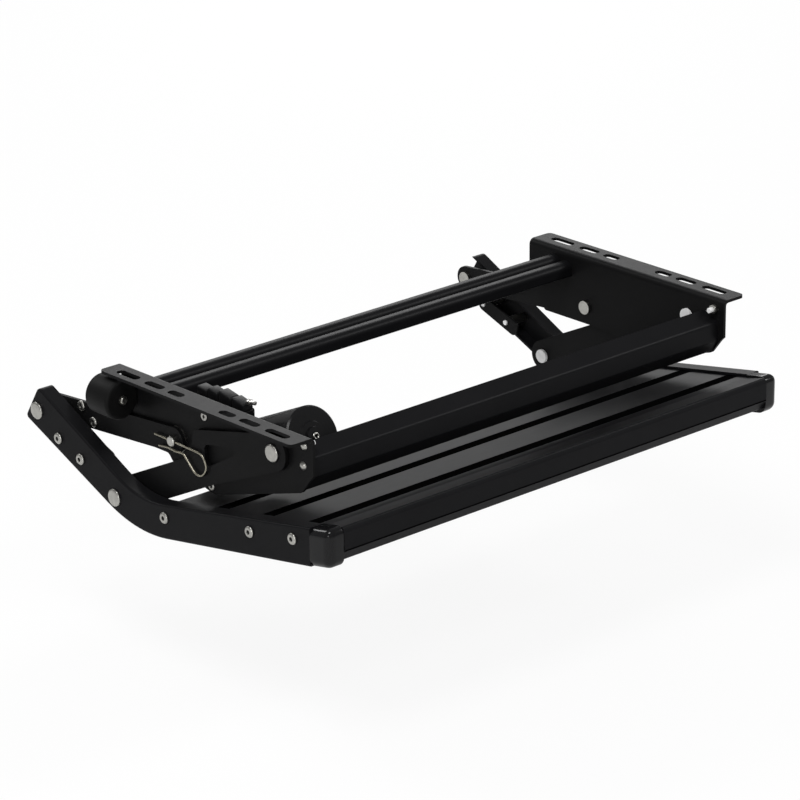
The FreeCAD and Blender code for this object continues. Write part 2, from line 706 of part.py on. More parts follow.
def end_cap(side, name):
    """Moulded corner between nose and channel, with rounded outer edges."""
    corners = tread_corners([(0.6, 0.0, 7), (3.6, 24.0, 12), (11.0, CAP_FOOT, 8),
                             (CAP_END_LOW, CAP_FOOT, 0), (CAP_END, 0.0, 0)])
    body = new_body(name + "_end_cap")
    sketch = new_sketch(body, "YZ_Plane", start_x(side, CHANNEL_OUT + " - " + cell("cap_width"), CHANNEL_OUT))
    sketch.addGeometry(outline_edges(corners), False)
    pad(body, sketch, cell("cap_width"))
    doc.recompute()
    names = []
    front = on_tread(CAP_END, 0)[0] - 4
    for index, edge in enumerate(body.Shape.Edges, start=1):
        box = edge.BoundBox
        if box.XLength < 0.01 and abs(box.Center.x - side * channel_out) < 0.01:
            if box.YMin < front:
                names.append("Edge%d" % index)
    padded = body.Tip
    rounding = body.newObject("PartDesign::Fillet", body.Name + "Round")
    rounding.Base = (padded, names)
    rounding.setExpression("Radius", cell("cap_round"))
    return body


def inner_plate(side, name):
    """Strap inside the rear links that steadies the two hinge screws."""
    rear, front = hinge_screw_places()
    run = Vector(rear[0] - front[0], rear[1] - front[1], 0).normalize()
    across = Vector(-run.y, run.x, 0)
    half = 7.5

    def beside(point, along, offset):
        return (point[0] + run.x * along + across.x * offset,
                point[1] + run.y * along + across.y * offset)

    corners = [beside(rear, 0, half) + (0,), beside(front, -17.0, half) + (6,),
               beside(front, -17.0, -half) + (6,), beside(rear, 0, -half) + (0,)]
    inner = LAYER + " - " + cell("turning_gap") + " - 1.8 - " + cell("plate_sheet")
    outer = LAYER + " - " + cell("turning_gap") + " - 1.8"
    hole = cell("screw_radius")
    return plate(name + "_inner_plate", side, inner, outer, corners, discs=((rear, "7.5"),),
                 holes=[(rear, hole), (front, hole)])


# Pivots and fasteners

gap = size("turning_gap")
head = size("head_radius")
head_tall = size("head_height")
inner_head = size("inner_head_radius")
inner_head_tall = size("inner_head_height")
pin = size("pivot_radius")
screw = size("screw_radius")
screw_head = size("screw_head_radius")
screw_tall = size("screw_head_height")
plate_out = layer_in - gap - 1.8
plate_in = plate_out - size("plate_sheet")


def riveted(label, inner_seat, outer_seat, centre, side):
    """A rivet with a head on each side of what it holds."""
    steps = [(inner_seat - inner_head_tall, inner_head), (inner_seat, inner_head),
             (inner_seat, pin), (outer_seat, pin), (outer_seat, head),
             (outer_seat + head_tall * 0.55, head), (outer_seat + head_tall, head - head_tall * 0.45)]
    return turned(label, steps, centre, side)


def washer(label, inner, outer, centre, side, radius, bore):
    """A flat ring in a side layer."""
    body = new_body(label, False)
    sketch = new_sketch(body, "YZ_Plane", str(inner if side == RIGHT else -outer))
    draw_circle(sketch, centre, str(radius))
    draw_circle(sketch, centre, str(bore))
    pad(body, sketch, str(outer - inner))
    return body


def arm_pivots():
    """Rivets of the two front pivots, with a thin washer behind each arm."""
    rivets = []
    washers = []
    for side, name in SIDES:
        rivets.append(riveted(name + "_arm_rivet", web_in, arm_out + gap, ARM_PIVOT, side))
        washers.append(washer(name + "_arm_washer", web_out, layer_in - gap, ARM_PIVOT, side,
                              10.5, pin + size("pivot_fit")))
    washers.append(washer("right_link_washer", web_out, layer_in - gap, LINK_PIVOT, RIGHT,
                          10.5, pin + size("pivot_fit")))
    group("arm_pivot_rivets", rivets)
    group("pivot_washers", washers)


def link_pivots():
    """Rivet of the right rear link; drive hub and removable pin of the left one."""
    right = riveted("right_link_rivet", web_in, link_out + gap, LINK_PIVOT, RIGHT)
    NODES.append(right)
    start = web_in - size("hub_depth")
    hub = new_body("drive_hub")
    ring = new_sketch(hub, "YZ_Plane", str(-layer_in))
    draw_circle(ring, LINK_PIVOT, cell("hub_radius"))
    draw_circle(ring, LINK_PIVOT, cell("pivot_radius") + " + " + cell("pivot_fit"))
    pad(hub, ring, str(layer_in - start - gap))
    tip = link_out + size("clip_place") + 2.7
    shank = turned("clevis_shank", [(start, pin), (tip - 0.8, pin), (tip, pin - 0.8)], LINK_PIVOT, LEFT)
    leg_start, leg_end = clip_path()[0], clip_path()[1]
    bore = doc.addObject("Part::Cylinder", "clevis_bore")
    bore.setExpression("Radius", cell("wire_radius") + " + " + cell("pivot_fit"))
    bore.Height = 60.0
    heading = Vector(0, leg_end[0] - leg_start[0], leg_end[1] - leg_start[1])
    bore.Placement = Placement(Vector(-(link_out + size("clip_place")), leg_start[0], leg_start[1]),
                               Rotation(Vector(0, 0, 1), heading))
    clevis = doc.addObject("Part::Cut", "clevis_pin")
    clevis.Base = shank
    clevis.Tool = bore
    clevis.Label = "clevis_pin"
    NODES.append(clevis)


def clip_path():
    """Centre line of the spring clip: one leg through the pin, one hooked under it."""
    y, z = LINK_PIVOT
    return [(y + 25.0, z + 0.6, 0), (y - 41.0, z - 0.984, 8), (y - 48.7, z - 12.0, 6),
            (y - 40.7, z - 24.0, 7), (y - 32.2, z - 23.0, 5), (y - 16.0, z - 7.6, 4),
            (y - 5.5, z - 9.0, 5), (y + 4.0, z - 7.6, 6), (y + 19.0, z - 9.5, 0)]


def spring_clip():
    """The clip of bent wire beside the left link, with an eight-sided section."""
    wide = 2 * size("wire_radius") * math.cos(math.radians(22.5))
    path = clip_path()
    right = strip(path[::-1], wide / 2)[len(path):]
    left = strip(path, wide / 2)[len(path):]
    body = new_body("spring_clip")
    outer = "-(" + LINK_OUT + " + " + cell("clip_place") + " + " + str(wide / 2) + ")"
    sketch = new_sketch(body, "YZ_Plane", outer)
    sketch.addGeometry(outline_edges(right + left), False)
    pad(body, sketch, str(wide))
    doc.recompute()
    names = ["Edge%d" % index for index, edge in enumerate(body.Shape.Edges, start=1)
             if edge.BoundBox.XLength < 0.01
             and (edge.Length > 1.01 * wide or isinstance(edge.Curve, Part.Circle))]
    square = body.Tip
    flats = body.newObject("PartDesign::Chamfer", "WireFlats")
    flats.Base = (square, names)
    flats.Size = wide * (1 - math.sqrt(0.5))
    body.Tip = flats
    return body


def tread_hinge():
    """Rivets, spacers and stubs that join arms, plates and channels."""
    rivets = []
    spacers = []
    stubs = []
    eyes = []
    plate_spacers = []
    hinge_screws = []
    for side, name in SIDES:
        rivets.append(riveted(name + "_tread_rivet", layer_in - gap, channel_out, TREAD_PIVOT, side))
        spacers.append(washer(name + "_tread_spacer", arm_out + gap, channel_face, TREAD_PIVOT, side, 8.5, pin))
        stubs.append(headed(name + "_rear_stub", channel_out, link_out + 3.2, REAR_PIVOT, side, pin, head, head_tall))
        eyes.append(headed(name + "_eye_pin", layer_in, link_out, REAR_PIVOT, side, pin, inner_head,
                           inner_head_tall))
        for index, centre in enumerate(hinge_screw_places()):
            plate_spacers.append(washer("%s_plate_spacer_%d" % (name, index + 1), plate_out, channel_face,
                                        centre, side, size("spacer_radius"), screw))
            hinge_screws.append(headed("%s_hinge_screw_%d" % (name, index + 1), channel_out, plate_in - 1.5,
                                       centre, side, screw, screw_head, screw_tall))
    group("tread_pivot_rivets", rivets)
    group("tread_pivot_spacers", spacers)
    group("rear_channel_stubs", stubs)
    group("link_eye_pins", eyes)
    group("plate_spacers", plate_spacers)
    group("plate_screws", hinge_screws)


def screws():
    """Screws of the tread, the cross-bar and the brackets."""
    tread_screws = []
    bar_screws = []
    nose_screws = []
    nuts = []
    for side, name in SIDES:
        for index, along in enumerate(BOSS_PLACES):
            tread_screws.append(headed("%s_tread_screw_%d" % (name, index + 1), channel_out,
                                       channel_face - 14.0, on_tread(along, size("boss_depth")), side,
                                       screw, screw_head, screw_tall))
        for index, along in enumerate(BAR_SCREWS):
            bar_screws.append(headed("%s_bar_screw_%d" % (name, index + 1), link_out, layer_in - 14.0,
                                     bar_point(along, 0), side, screw, 5.0, 2.0))
        for index, centre in enumerate((NOSE_SCREW_HIGH, NOSE_SCREW_LOW)):
            nose_screws.append(headed("%s_nose_screw_%d" % (name, index + 1), web_out, web_in - 9.0,
                                      centre, side, screw, 4.2, 2.2))
        nuts.append(washer(name + "_nose_nut", web_in - 4.0, web_in, NOSE_SCREW_HIGH, side, 4.4, screw))
        nose_screws.append(headed(name + "_low_screw", web_out, web_in - 9.0, SCREW_LOW, side, screw, 4.2, 0.8))
        if side == RIGHT:
            nuts.append(washer(name + "_low_nut", web_in - 4.0, web_in, SCREW_LOW, side, 4.4, screw))
    nose_screws.append(headed("gearbox_high_screw", web_out, web_in - 9.0, SCREW_HIGH, LEFT, screw, 4.2, 0.8))
    group("tread_screws", tread_screws)
    group("cross_bar_screws", bar_screws)
    group("bracket_screws", nose_screws)
    group("bracket_nuts", nuts)


# Drive

motor_slope = math.radians(size("motor_tilt"))
motor_x = size("motor_inset") - web_in
CASE_DEPTH = cell("motor_inset") + " + " + cell("worm_radius") + " + " + cell("case_wall")
case_face = web_in - size("motor_inset") - size("worm_radius") - size("case_wall")


def on_motor(along, above=0.0):
    """A point of the motor axis, from the output axis towards the front."""
    across = -size("worm_offset") + above
    return (LINK_PIVOT[0] - along * math.cos(motor_slope) + across * math.sin(motor_slope),
            LINK_PIVOT[1] + along * math.sin(motor_slope) + across * math.cos(motor_slope))


def motor_piece(label, steps, node=True):
    """A round piece about the motor axis: steps are (distance to the front, radius)."""
    body = new_body(label, node)
    sketch = new_sketch(body, "XY_Plane", "0")
    corners = [(steps[0][0], 0, 0)] + [(along, radius, 0) for along, radius in steps]
    corners += [(steps[-1][0], 0, 0)]
    sketch.addGeometry(outline_edges(corners), False)
    turn = body.newObject("PartDesign::Revolution", body.Name + "Turn")
    turn.Profile = sketch
    turn.ReferenceAxis = (sketch, ["H_Axis"])
    turn.Angle = 360
    foot = on_motor(0)
    heading = Vector(0, -math.cos(motor_slope), math.sin(motor_slope))
    body.Placement = Placement(Vector(motor_x, foot[0], foot[1]), Rotation(Vector(1, 0, 0), heading))
    return body


def motor():
    """Drawn can with a rolled front rim, and a stepped front bearing cup."""
    front = size("worm_to_front")
    rear = front - size("motor_length")
    can = size("motor_radius")
    motor_piece("motor_can", [(rear, can - 2), (rear + 2, can), (front - 3, can), (front - 1.5, can - 1.5)])
    motor_piece("motor_bearing_cup", [(front - 1.5, 15.0), (front, 14.0), (front, 9.5), (front + 2.5, 8.5),
                                      (front + 2.5, 4.0), (front + 1.5, 3.5)])
    motor_piece("motor_flange", [(rear - 6, can - 3), (rear, can - 3)])


def gearbox():
    """Worm gearbox: wheel case about the output axis, worm tube and two ears."""
    body = new_body("gearbox_housing")
    case = new_sketch(body, "YZ_Plane", "-(" + WEB_IN + ")")
    draw_circle(case, LINK_PIVOT, cell("wheel_case_radius"))
    pad(body, case, CASE_DEPTH)
    for ear in (SCREW_HIGH, SCREW_LOW):
        arm = new_sketch(body, "YZ_Plane", "-(" + WEB_IN + ")")
        run = Vector(ear[0] - LINK_PIVOT[0], ear[1] - LINK_PIVOT[1], 0).normalize()
        across = Vector(-run.y, run.x, 0) * 8.0
        tip = Vector(ear[0], ear[1], 0) + run * 8.0
        root = Vector(LINK_PIVOT[0], LINK_PIVOT[1], 0) + run * 20.0
        corners = [(root.x + across.x * 1.8, root.y + across.y * 1.8, 0),
                   (tip.x + across.x, tip.y + across.y, 6), (tip.x - across.x, tip.y - across.y, 6),
                   (root.x - across.x * 1.8, root.y - across.y * 1.8, 0)]
        arm.addGeometry(outline_edges(corners), False)
        pad(body, arm, cell("ear_depth"))
    reach = size("worm_to_front") - size("motor_length") - 6.0
    tube = body.newObject("PartDesign::AdditiveCylinder", "WormTube")
    tube.setExpression("Radius", cell("worm_radius"))
    tube.setExpression("Height", cell("worm_tail") + " + " + str(reach))
    foot = on_motor(-size("worm_tail"))
    heading = Vector(0, -math.cos(motor_slope), math.sin(motor_slope))
    tube.Placement = Placement(Vector(motor_x, foot[0], foot[1]), Rotation(Vector(0, 0, 1), heading))
    bores = new_sketch(body, "YZ_Plane", "-(" + WEB_IN + ")")
    draw_circle(bores, LINK_PIVOT, cell("hub_radius") + " + " + cell("pivot_fit"))
    pocket(body, bores, cell("hub_depth"))
    holes = new_sketch(body, "YZ_Plane", "-(" + WEB_IN + ")")
    draw_circle(holes, SCREW_HIGH, cell("screw_radius"))
    draw_circle(holes, SCREW_LOW, cell("screw_radius"))
    pocket(body, holes, cell("ear_depth"))
    cover = new_body("gearbox_cover")
    inner = "-(" + WEB_IN + ") + " + CASE_DEPTH
    disc = new_sketch(cover, "YZ_Plane", inner)
    draw_circle(disc, LINK_PIVOT, cell("wheel_case_radius") + " + 1.5")
    pad(cover, disc, cell("cover_sheet"))
    boss = new_sketch(cover, "YZ_Plane", inner + " + " + cell("cover_sheet"))
    draw_circle(boss, LINK_PIVOT, "11")
    pad(cover, boss, "4")
    tail = -size("worm_tail")
    motor_piece("worm_tube_cap", [(tail - 4.0, 12.0), (tail - 4.0, 15.5), (tail, 15.5)])
    cover_screws = []
    for index in range(6):
        bearing = math.radians(30 + 60 * index)
        centre = (LINK_PIVOT[0] + 25.5 * math.cos(bearing), LINK_PIVOT[1] + 25.5 * math.sin(bearing))
        face = case_face - size("cover_sheet")
        cover_screws.append(turned("cover_screw_%d" % (index + 1), [(face - 2.2, 3.2), (face, 3.2)], centre, LEFT))
    group("gearbox_cover_screws", cover_screws)


def connector():
    """Terminal block on the left web, with blade terminals along its top."""
    ear_face = 14.3
    body = prism("connector_block", "-(" + WEB_IN + " - " + str(ear_face) + ")", "17", [
        (50.0, -23.2, 1), (50.0, -13.0, 2), (-16.0, -13.0, 2), (-16.0, -23.2, 1)])
    blades = []
    for index in range(5):
        blade = doc.addObject("Part::Box", "terminal_%d" % (index + 1))
        blade.Length = 7.0
        blade.Width = 6.0
        blade.Height = 3.5
        blade.Placement = Placement(Vector(-web_in + ear_face + 5.0, -11.0 + 12.0 * index, -13.0), Rotation())
        blades.append(blade)
    group("connector_terminals", blades)
    return body


def buffer():
    """Round rubber stop, flat where it sits on the left web, and its screw."""
    body = new_body("rubber_buffer")
    rim_face = "-(" + cell("bracket_length") + " / 2 + " + cell("buffer_overhang") + ")"
    rim_y = bracket_rear + size("buffer_overhang")
    sketch = new_sketch(body, "XZ_Plane", rim_face)
    centre_x = -(web_out + size("buffer_seat"))
    draw_circle(sketch, (centre_x, size("buffer_z")), cell("buffer_radius"))
    pad(body, sketch, cell("buffer_length"))
    doc.recompute()
    rear_edges = []
    for index, edge in enumerate(body.Shape.Edges, start=1):
        if abs(edge.BoundBox.Center.y - rim_y) < 0.1 and edge.BoundBox.YLength < 0.1:
            rear_edges.append("Edge%d" % index)
    padded = body.Tip
    rim = body.newObject("PartDesign::Chamfer", "BufferRim")
    rim.Base = (padded, rear_edges)
    rim.Size = 3.5
    seat = new_sketch(body, "XZ_Plane", rim_face + " - 1")
    low = size("buffer_z") - size("buffer_radius") - 2
    high = size("buffer_z") + size("buffer_radius") + 2
    seat.addGeometry(outline_edges([(-web_out, low, 0), (-web_out + 12, low, 0),
                                    (-web_out + 12, high, 0), (-web_out, high, 0)]), False)
    pocket(body, seat, cell("buffer_length") + " + 2")
    front = rim_y - size("buffer_length")
    bolt = new_body("buffer_screw")
    shank = new_sketch(bolt, "XZ_Plane", "-" + str(front))
    draw_circle(shank, (centre_x, size("buffer_z")), "4.5")
    pad(bolt, shank, "2.5")
    return body


def check_and_export():
    """Stops on any failed object, then writes one file for each node."""
    doc.recompute()
    for item in doc.Objects:
        if "Invalid" in item.State or "Error" in item.State:
            raise ValueError(item.Name + " failed")
    os.makedirs("parts", exist_ok=True)
    for node in NODES:
        shape = node.Shape
        if shape.isNull() or not shape.isValid():
            raise ValueError(node.Label + " has no valid shape")
        shape.exportStep(os.path.join("parts", node.Label + ".step"))
        print(node.Label, len(shape.Solids), round(shape.Volume), shape.BoundBox)


def build():
    for side, name in SIDES:
        bracket(side, name)
        main_arm(side, name)
        rear_link(side, name)
        side_channel(side, name)
        end_cap(side, name)
        inner_plate(side, name)
    front_profile()
    rear_profile()
    link_cross_bar()
    tread_plate()
    grip_strips()
    arm_pivots()
    link_pivots()
    spring_clip()
    tread_hinge()
    screws()
    motor()
    gearbox()
    connector()
    buffer()
    check_and_export()


build()
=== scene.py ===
import logging
import math
from collections.abc import Callable
from dataclasses import dataclass, replace
from enum import Enum

import bpy
from mathutils import Matrix, Vector


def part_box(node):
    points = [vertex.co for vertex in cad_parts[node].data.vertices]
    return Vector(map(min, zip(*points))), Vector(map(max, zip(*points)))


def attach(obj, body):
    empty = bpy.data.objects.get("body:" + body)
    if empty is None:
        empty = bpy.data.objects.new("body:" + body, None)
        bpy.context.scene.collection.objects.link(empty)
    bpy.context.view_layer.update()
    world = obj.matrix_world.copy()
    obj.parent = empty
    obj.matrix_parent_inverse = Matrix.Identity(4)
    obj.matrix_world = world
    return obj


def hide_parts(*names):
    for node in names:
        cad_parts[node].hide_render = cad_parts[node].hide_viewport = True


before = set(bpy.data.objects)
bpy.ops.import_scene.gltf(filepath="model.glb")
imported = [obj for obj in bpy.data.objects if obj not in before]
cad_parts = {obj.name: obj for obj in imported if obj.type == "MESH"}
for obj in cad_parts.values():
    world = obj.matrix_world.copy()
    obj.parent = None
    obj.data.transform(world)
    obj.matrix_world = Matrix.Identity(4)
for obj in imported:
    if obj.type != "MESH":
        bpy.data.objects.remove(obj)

LOG = logging.getLogger("entry_step")
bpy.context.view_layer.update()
MM = 0.001
DEEPEST_REACH = 0.295
NOISE_ROUGHNESS = 0.55
BUMP_STRENGTH = 0.8
COAT_ROUGHNESS = 0.08
SPECKS_TO_A_PATCH = 9.0
SCREW_SPACING = 13.5 * MM
NOSE_SCREWS_BEFORE = -0.1
SMOOTH_UNDER = math.radians(40.0)
ALONG_X = Vector((1.0, 0.0, 0.0))
ALONG_Y = Vector((0.0, 1.0, 0.0))


class Finish(Enum):
    """The finishes that the step is made in, and a dark colour painted as shade inside screw sockets."""

    POWDER = "powder coat on sheet steel"
    ANODISED = "black anodised extrusion"
    ZINC = "zinc plate on fasteners"
    GLOSS = "gloss moulding"
    RUBBER = "moulded rubber"
    MATTE = "matte moulding"
    GRIP = "ribbed grip insert"
    # Also used for the near-black line painted as shade in the groove along the tread's nose.
    CAST = "painted casting"
    CAN = "enamelled motor can"
    SPRING = "bright spring wire"
    TERMINAL = "tinned blade"
    # Not a finish: a dark colour that paints the shade inside screw sockets.
    PAINTED_SOCKET_SHADE = "shaded screw recess"


@dataclass(frozen=True)
class Look:
    """Numbers of one finish.

    Args:
        deep: colour in the darker patches.
        pale: colour in the paler patches.
        metallic: how metallic the surface is.
        smooth: lowest roughness.
        dull: highest roughness.
        patch: scale of the broad variation, per metre.
        grain: scale of the fine texture, per metre.
        relief: height of the fine texture in metres.
        stretch: how much the grain is drawn out along X.
        coat: weight of a clear coat.
        specular: how strongly a surface that isn't metal reflects.
    """

    deep: tuple[float, float, float]
    pale: tuple[float, float, float]
    metallic: float
    smooth: float
    dull: float
    patch: float
    grain: float
    relief: float
    stretch: float = 1.0
    coat: float = 0.0
    specular: float = 0.34


LOOKS = {
    Finish.POWDER: Look((0.004, 0.004, 0.0042), (0.0075, 0.0075, 0.0078), 0.0, 0.34, 0.50,
                        14, 1500, 0.00006, specular=0.05),
    Finish.ANODISED: Look((0.0045, 0.0045, 0.005), (0.009, 0.009, 0.010), 0.0, 0.32, 0.46,
                          9, 1100, 0.00002, stretch=0.02, specular=0.05),
    Finish.ZINC: Look((0.20, 0.20, 0.19), (0.56, 0.55, 0.51), 1.0, 0.20, 0.42,
                      160, 2600, 0.00004),
    Finish.GLOSS: Look((0.004, 0.004, 0.0045), (0.007, 0.007, 0.0075), 0.0, 0.12, 0.22,
                       30, 900, 0.00001, coat=0.3, specular=0.05),
    Finish.RUBBER: Look((0.003, 0.003, 0.003), (0.006, 0.006, 0.006), 0.0, 0.46, 0.60,
                        60, 1300, 0.00006, specular=0.10),
    Finish.MATTE: Look((0.004, 0.004, 0.0045), (0.009, 0.009, 0.0095), 0.0, 0.40, 0.55,
                       70, 1700, 0.00004, specular=0.18),
    Finish.GRIP: Look((0.001, 0.001, 0.001), (0.002, 0.002, 0.002), 0.0, 0.80, 0.95,
                      40, 1500, 0.00010, specular=0.0),
    Finish.CAST: Look((0.005, 0.005, 0.0055), (0.011, 0.011, 0.012), 0.0, 0.38, 0.55,
                      50, 700, 0.00012, specular=0.18),
    Finish.CAN: Look((0.004, 0.004, 0.0045), (0.008, 0.008, 0.0085), 0.0, 0.20, 0.32,
                     20, 900, 0.00002, specular=0.14),
    Finish.SPRING: Look((0.14, 0.13, 0.10), (0.52, 0.49, 0.40), 1.0, 0.32, 0.42,
                        55, 60, 0.0000002),
    # Dark colour painted as the shade inside screw sockets.
    Finish.PAINTED_SOCKET_SHADE: Look((0.010, 0.010, 0.010), (0.030, 0.029, 0.027), 0.4, 0.50, 0.70,
                        200, 2400, 0.00002),
    Finish.TERMINAL: Look((0.62, 0.61, 0.58), (0.78, 0.77, 0.74), 1.0, 0.22, 0.36,
                          200, 2400, 0.00002),
}

NODE_FINISH = {
    Finish.POWDER: ("left_bracket", "right_bracket", "left_main_arm", "right_main_arm", "left_rear_link",
                    "right_rear_link", "left_inner_plate", "right_inner_plate"),
    Finish.ANODISED: ("tread_plate", "left_side_channel", "right_side_channel", "front_profile",
                      "rear_profile", "link_cross_bar"),
    Finish.ZINC: ("arm_pivot_rivets", "pivot_washers", "right_link_rivet", "drive_hub", "clevis_pin",
                  "tread_pivot_rivets", "tread_pivot_spacers", "rear_channel_stubs", "link_eye_pins",
                  "plate_spacers", "plate_screws", "tread_screws", "cross_bar_screws", "bracket_screws",
                  "bracket_nuts", "gearbox_cover_screws", "buffer_screw"),
    Finish.GLOSS: ("left_end_cap", "right_end_cap"),
    Finish.RUBBER: ("rubber_buffer",),
    Finish.MATTE: ("worm_tube_cap", "connector_block", "connector_terminals"),
    Finish.GRIP: ("tread_grip_strips",),
    Finish.CAST: ("motor_flange", "gearbox_housing", "gearbox_cover"),
    Finish.CAN: ("motor_can", "motor_bearing_cup"),
    Finish.SPRING: ("spring_clip",),
}


class Value:
    """A shader socket with number operators that add Math nodes."""

    def __init__(self, tree: bpy.types.NodeTree, socket: bpy.types.NodeSocket) -> None:
        """Wraps one output socket of a node tree."""
        self.tree = tree
        self.socket = socket

    def combine(self, operation: str, first: "Value | float", second: "Value | float") -> "Value":
        """Adds one Math node.

        Args:
            operation: the Math node's operation.
            first: its first input.
            second: its second input.

        Returns:
            The node's result.
        """
        node = self.tree.nodes.new("ShaderNodeMath")
        node.operation = operation
        for index, item in enumerate((first, second)):
            if isinstance(item, Value):
                self.tree.links.new(item.socket, node.inputs[index])
            else:
                node.inputs[index].default_value = item
        return Value(self.tree, node.outputs[0])

    def __add__(self, other: "Value | float") -> "Value":
        """Adds a value."""
        return self.combine("ADD", self, other)

    def __mul__(self, other: "Value | float") -> "Value":
        """Multiplies by a value."""
        return self.combine("MULTIPLY", self, other)



class Shader:
    """A material under construction."""

    def __init__(self, name: str) -> None:
        """Starts a material with an empty principled surface."""
        self.material = bpy.data.materials.new(name)
        self.material.use_nodes = True
        self.tree = self.material.node_tree
        self.surface = self.tree.nodes["Principled BSDF"]
        self.coordinates = self.tree.nodes.new("ShaderNodeTexCoord").outputs["Object"]

    def add(self, kind: str, settings: dict[str, object] | None = None,
            inputs: dict[str, object] | None = None) -> bpy.types.Node:
        """Adds a node.

        Args:
            kind: the node's type name.
            settings: attributes that are set first.
            inputs: input names with values, sockets or wrapped sockets.

        Returns:
            The new node.
        """
        node = self.tree.nodes.new(kind)
        for name, setting in (settings or {}).items():
            setattr(node, name, setting)
        for name, item in (inputs or {}).items():
            target = node.inputs[name]
            if isinstance(item, Value):
                self.tree.links.new(item.socket, target)
            elif isinstance(item, bpy.types.NodeSocket):
                self.tree.links.new(item, target)
            else:
                target.default_value = item
        return node

    def noise(self, scale: float, detail: float, stretch: float = 1.0) -> Value:
        """Noise over the object.

        Args:
            scale: repeats per metre.
            detail: how many octaves.
            stretch: scale along X against the other axes.

        Returns:
            The noise from 0 to 1.
        """
        mapping = self.add("ShaderNodeMapping", None, {
            "Vector": self.coordinates, "Scale": (stretch, 1.0, 1.0)})
        node = self.add("ShaderNodeTexNoise", None, {
            "Vector": mapping.outputs[0], "Scale": scale, "Detail": detail, "Roughness": NOISE_ROUGHNESS})
        return Value(self.tree, node.outputs["Fac"])

    def blend(self, factor: Value, first: tuple[float, float, float],
              second: tuple[float, float, float]) -> bpy.types.NodeSocket:
        """Mixes two colours by a value.

        Args:
            factor: 0 for the first colour, 1 for the second.
            first: a colour.
            second: another colour.

        Returns:
            The mixed colour.
        """
        node = self.add("ShaderNodeMix", {"data_type": "RGBA"}, {"Factor": factor})
        node.inputs["A"].default_value = (*first, 1.0)
        node.inputs["B"].default_value = (*second, 1.0)
        return node.outputs["Result"]

    def relief(self, height: Value, distance: float) -> None:
        """Raises the surface.

        Args:
            height: value from 0 to 1.
            distance: how high 1 is, in metres.
        """
        bump = self.add("ShaderNodeBump", None,
                        {"Height": height, "Distance": distance, "Strength": BUMP_STRENGTH})
        self.tree.links.new(bump.outputs[0], self.surface.inputs["Normal"])


def make_finish(finish: Finish) -> bpy.types.Material:
    """Builds the material of one finish.

    Args:
        finish: which finish.

    Returns:
        The material.
    """
    look = LOOKS[finish]
    shader = Shader(finish.name.lower())
    broad = shader.noise(look.patch, 4.0)
    fine = shader.noise(look.grain, 3.0, look.stretch)
    speck = shader.noise(look.patch * SPECKS_TO_A_PATCH, 2.0)
    colour = shader.blend(broad * 0.7 + speck * 0.3, look.deep, look.pale)
    shader.tree.links.new(colour, shader.surface.inputs["Base Color"])
    rough = broad * 0.5 + fine * 0.3 + speck * 0.2
    rough = rough * (look.dull - look.smooth) + look.smooth
    shader.tree.links.new(rough.socket, shader.surface.inputs["Roughness"])
    shader.surface.inputs["Metallic"].default_value = look.metallic
    shader.surface.inputs["Coat Weight"].default_value = look.coat
    shader.surface.inputs["Coat Roughness"].default_value = COAT_ROUGHNESS
    shader.surface.inputs["Specular IOR Level"].default_value = look.specular
    shader.relief(fine, look.relief)
    return shader.material


def deselect() -> None:
    """Clears the selection."""
    bpy.ops.object.select_all(action="DESELECT")


def settle(piece: bpy.types.Object) -> None:
    """Writes a piece's place into its mesh."""
    deselect()
    piece.select_set(True)
    bpy.context.view_layer.objects.active = piece
    bpy.ops.object.transform_apply(location=True, rotation=True, scale=True)


def join(pieces: list[bpy.types.Object], name: str) -> bpy.types.Object:
    """Joins pieces into one.

    Args:
        pieces: what is joined.
        name: the name of the result.

    Returns:
        The joined piece.
    """
    deselect()
    for piece in pieces:
        piece.select_set(True)
    bpy.context.view_layer.objects.active = pieces[0]
    if len(pieces) > 1:
        bpy.ops.object.join()
    result = bpy.context.view_layer.objects.active
    result.name = name
    return result


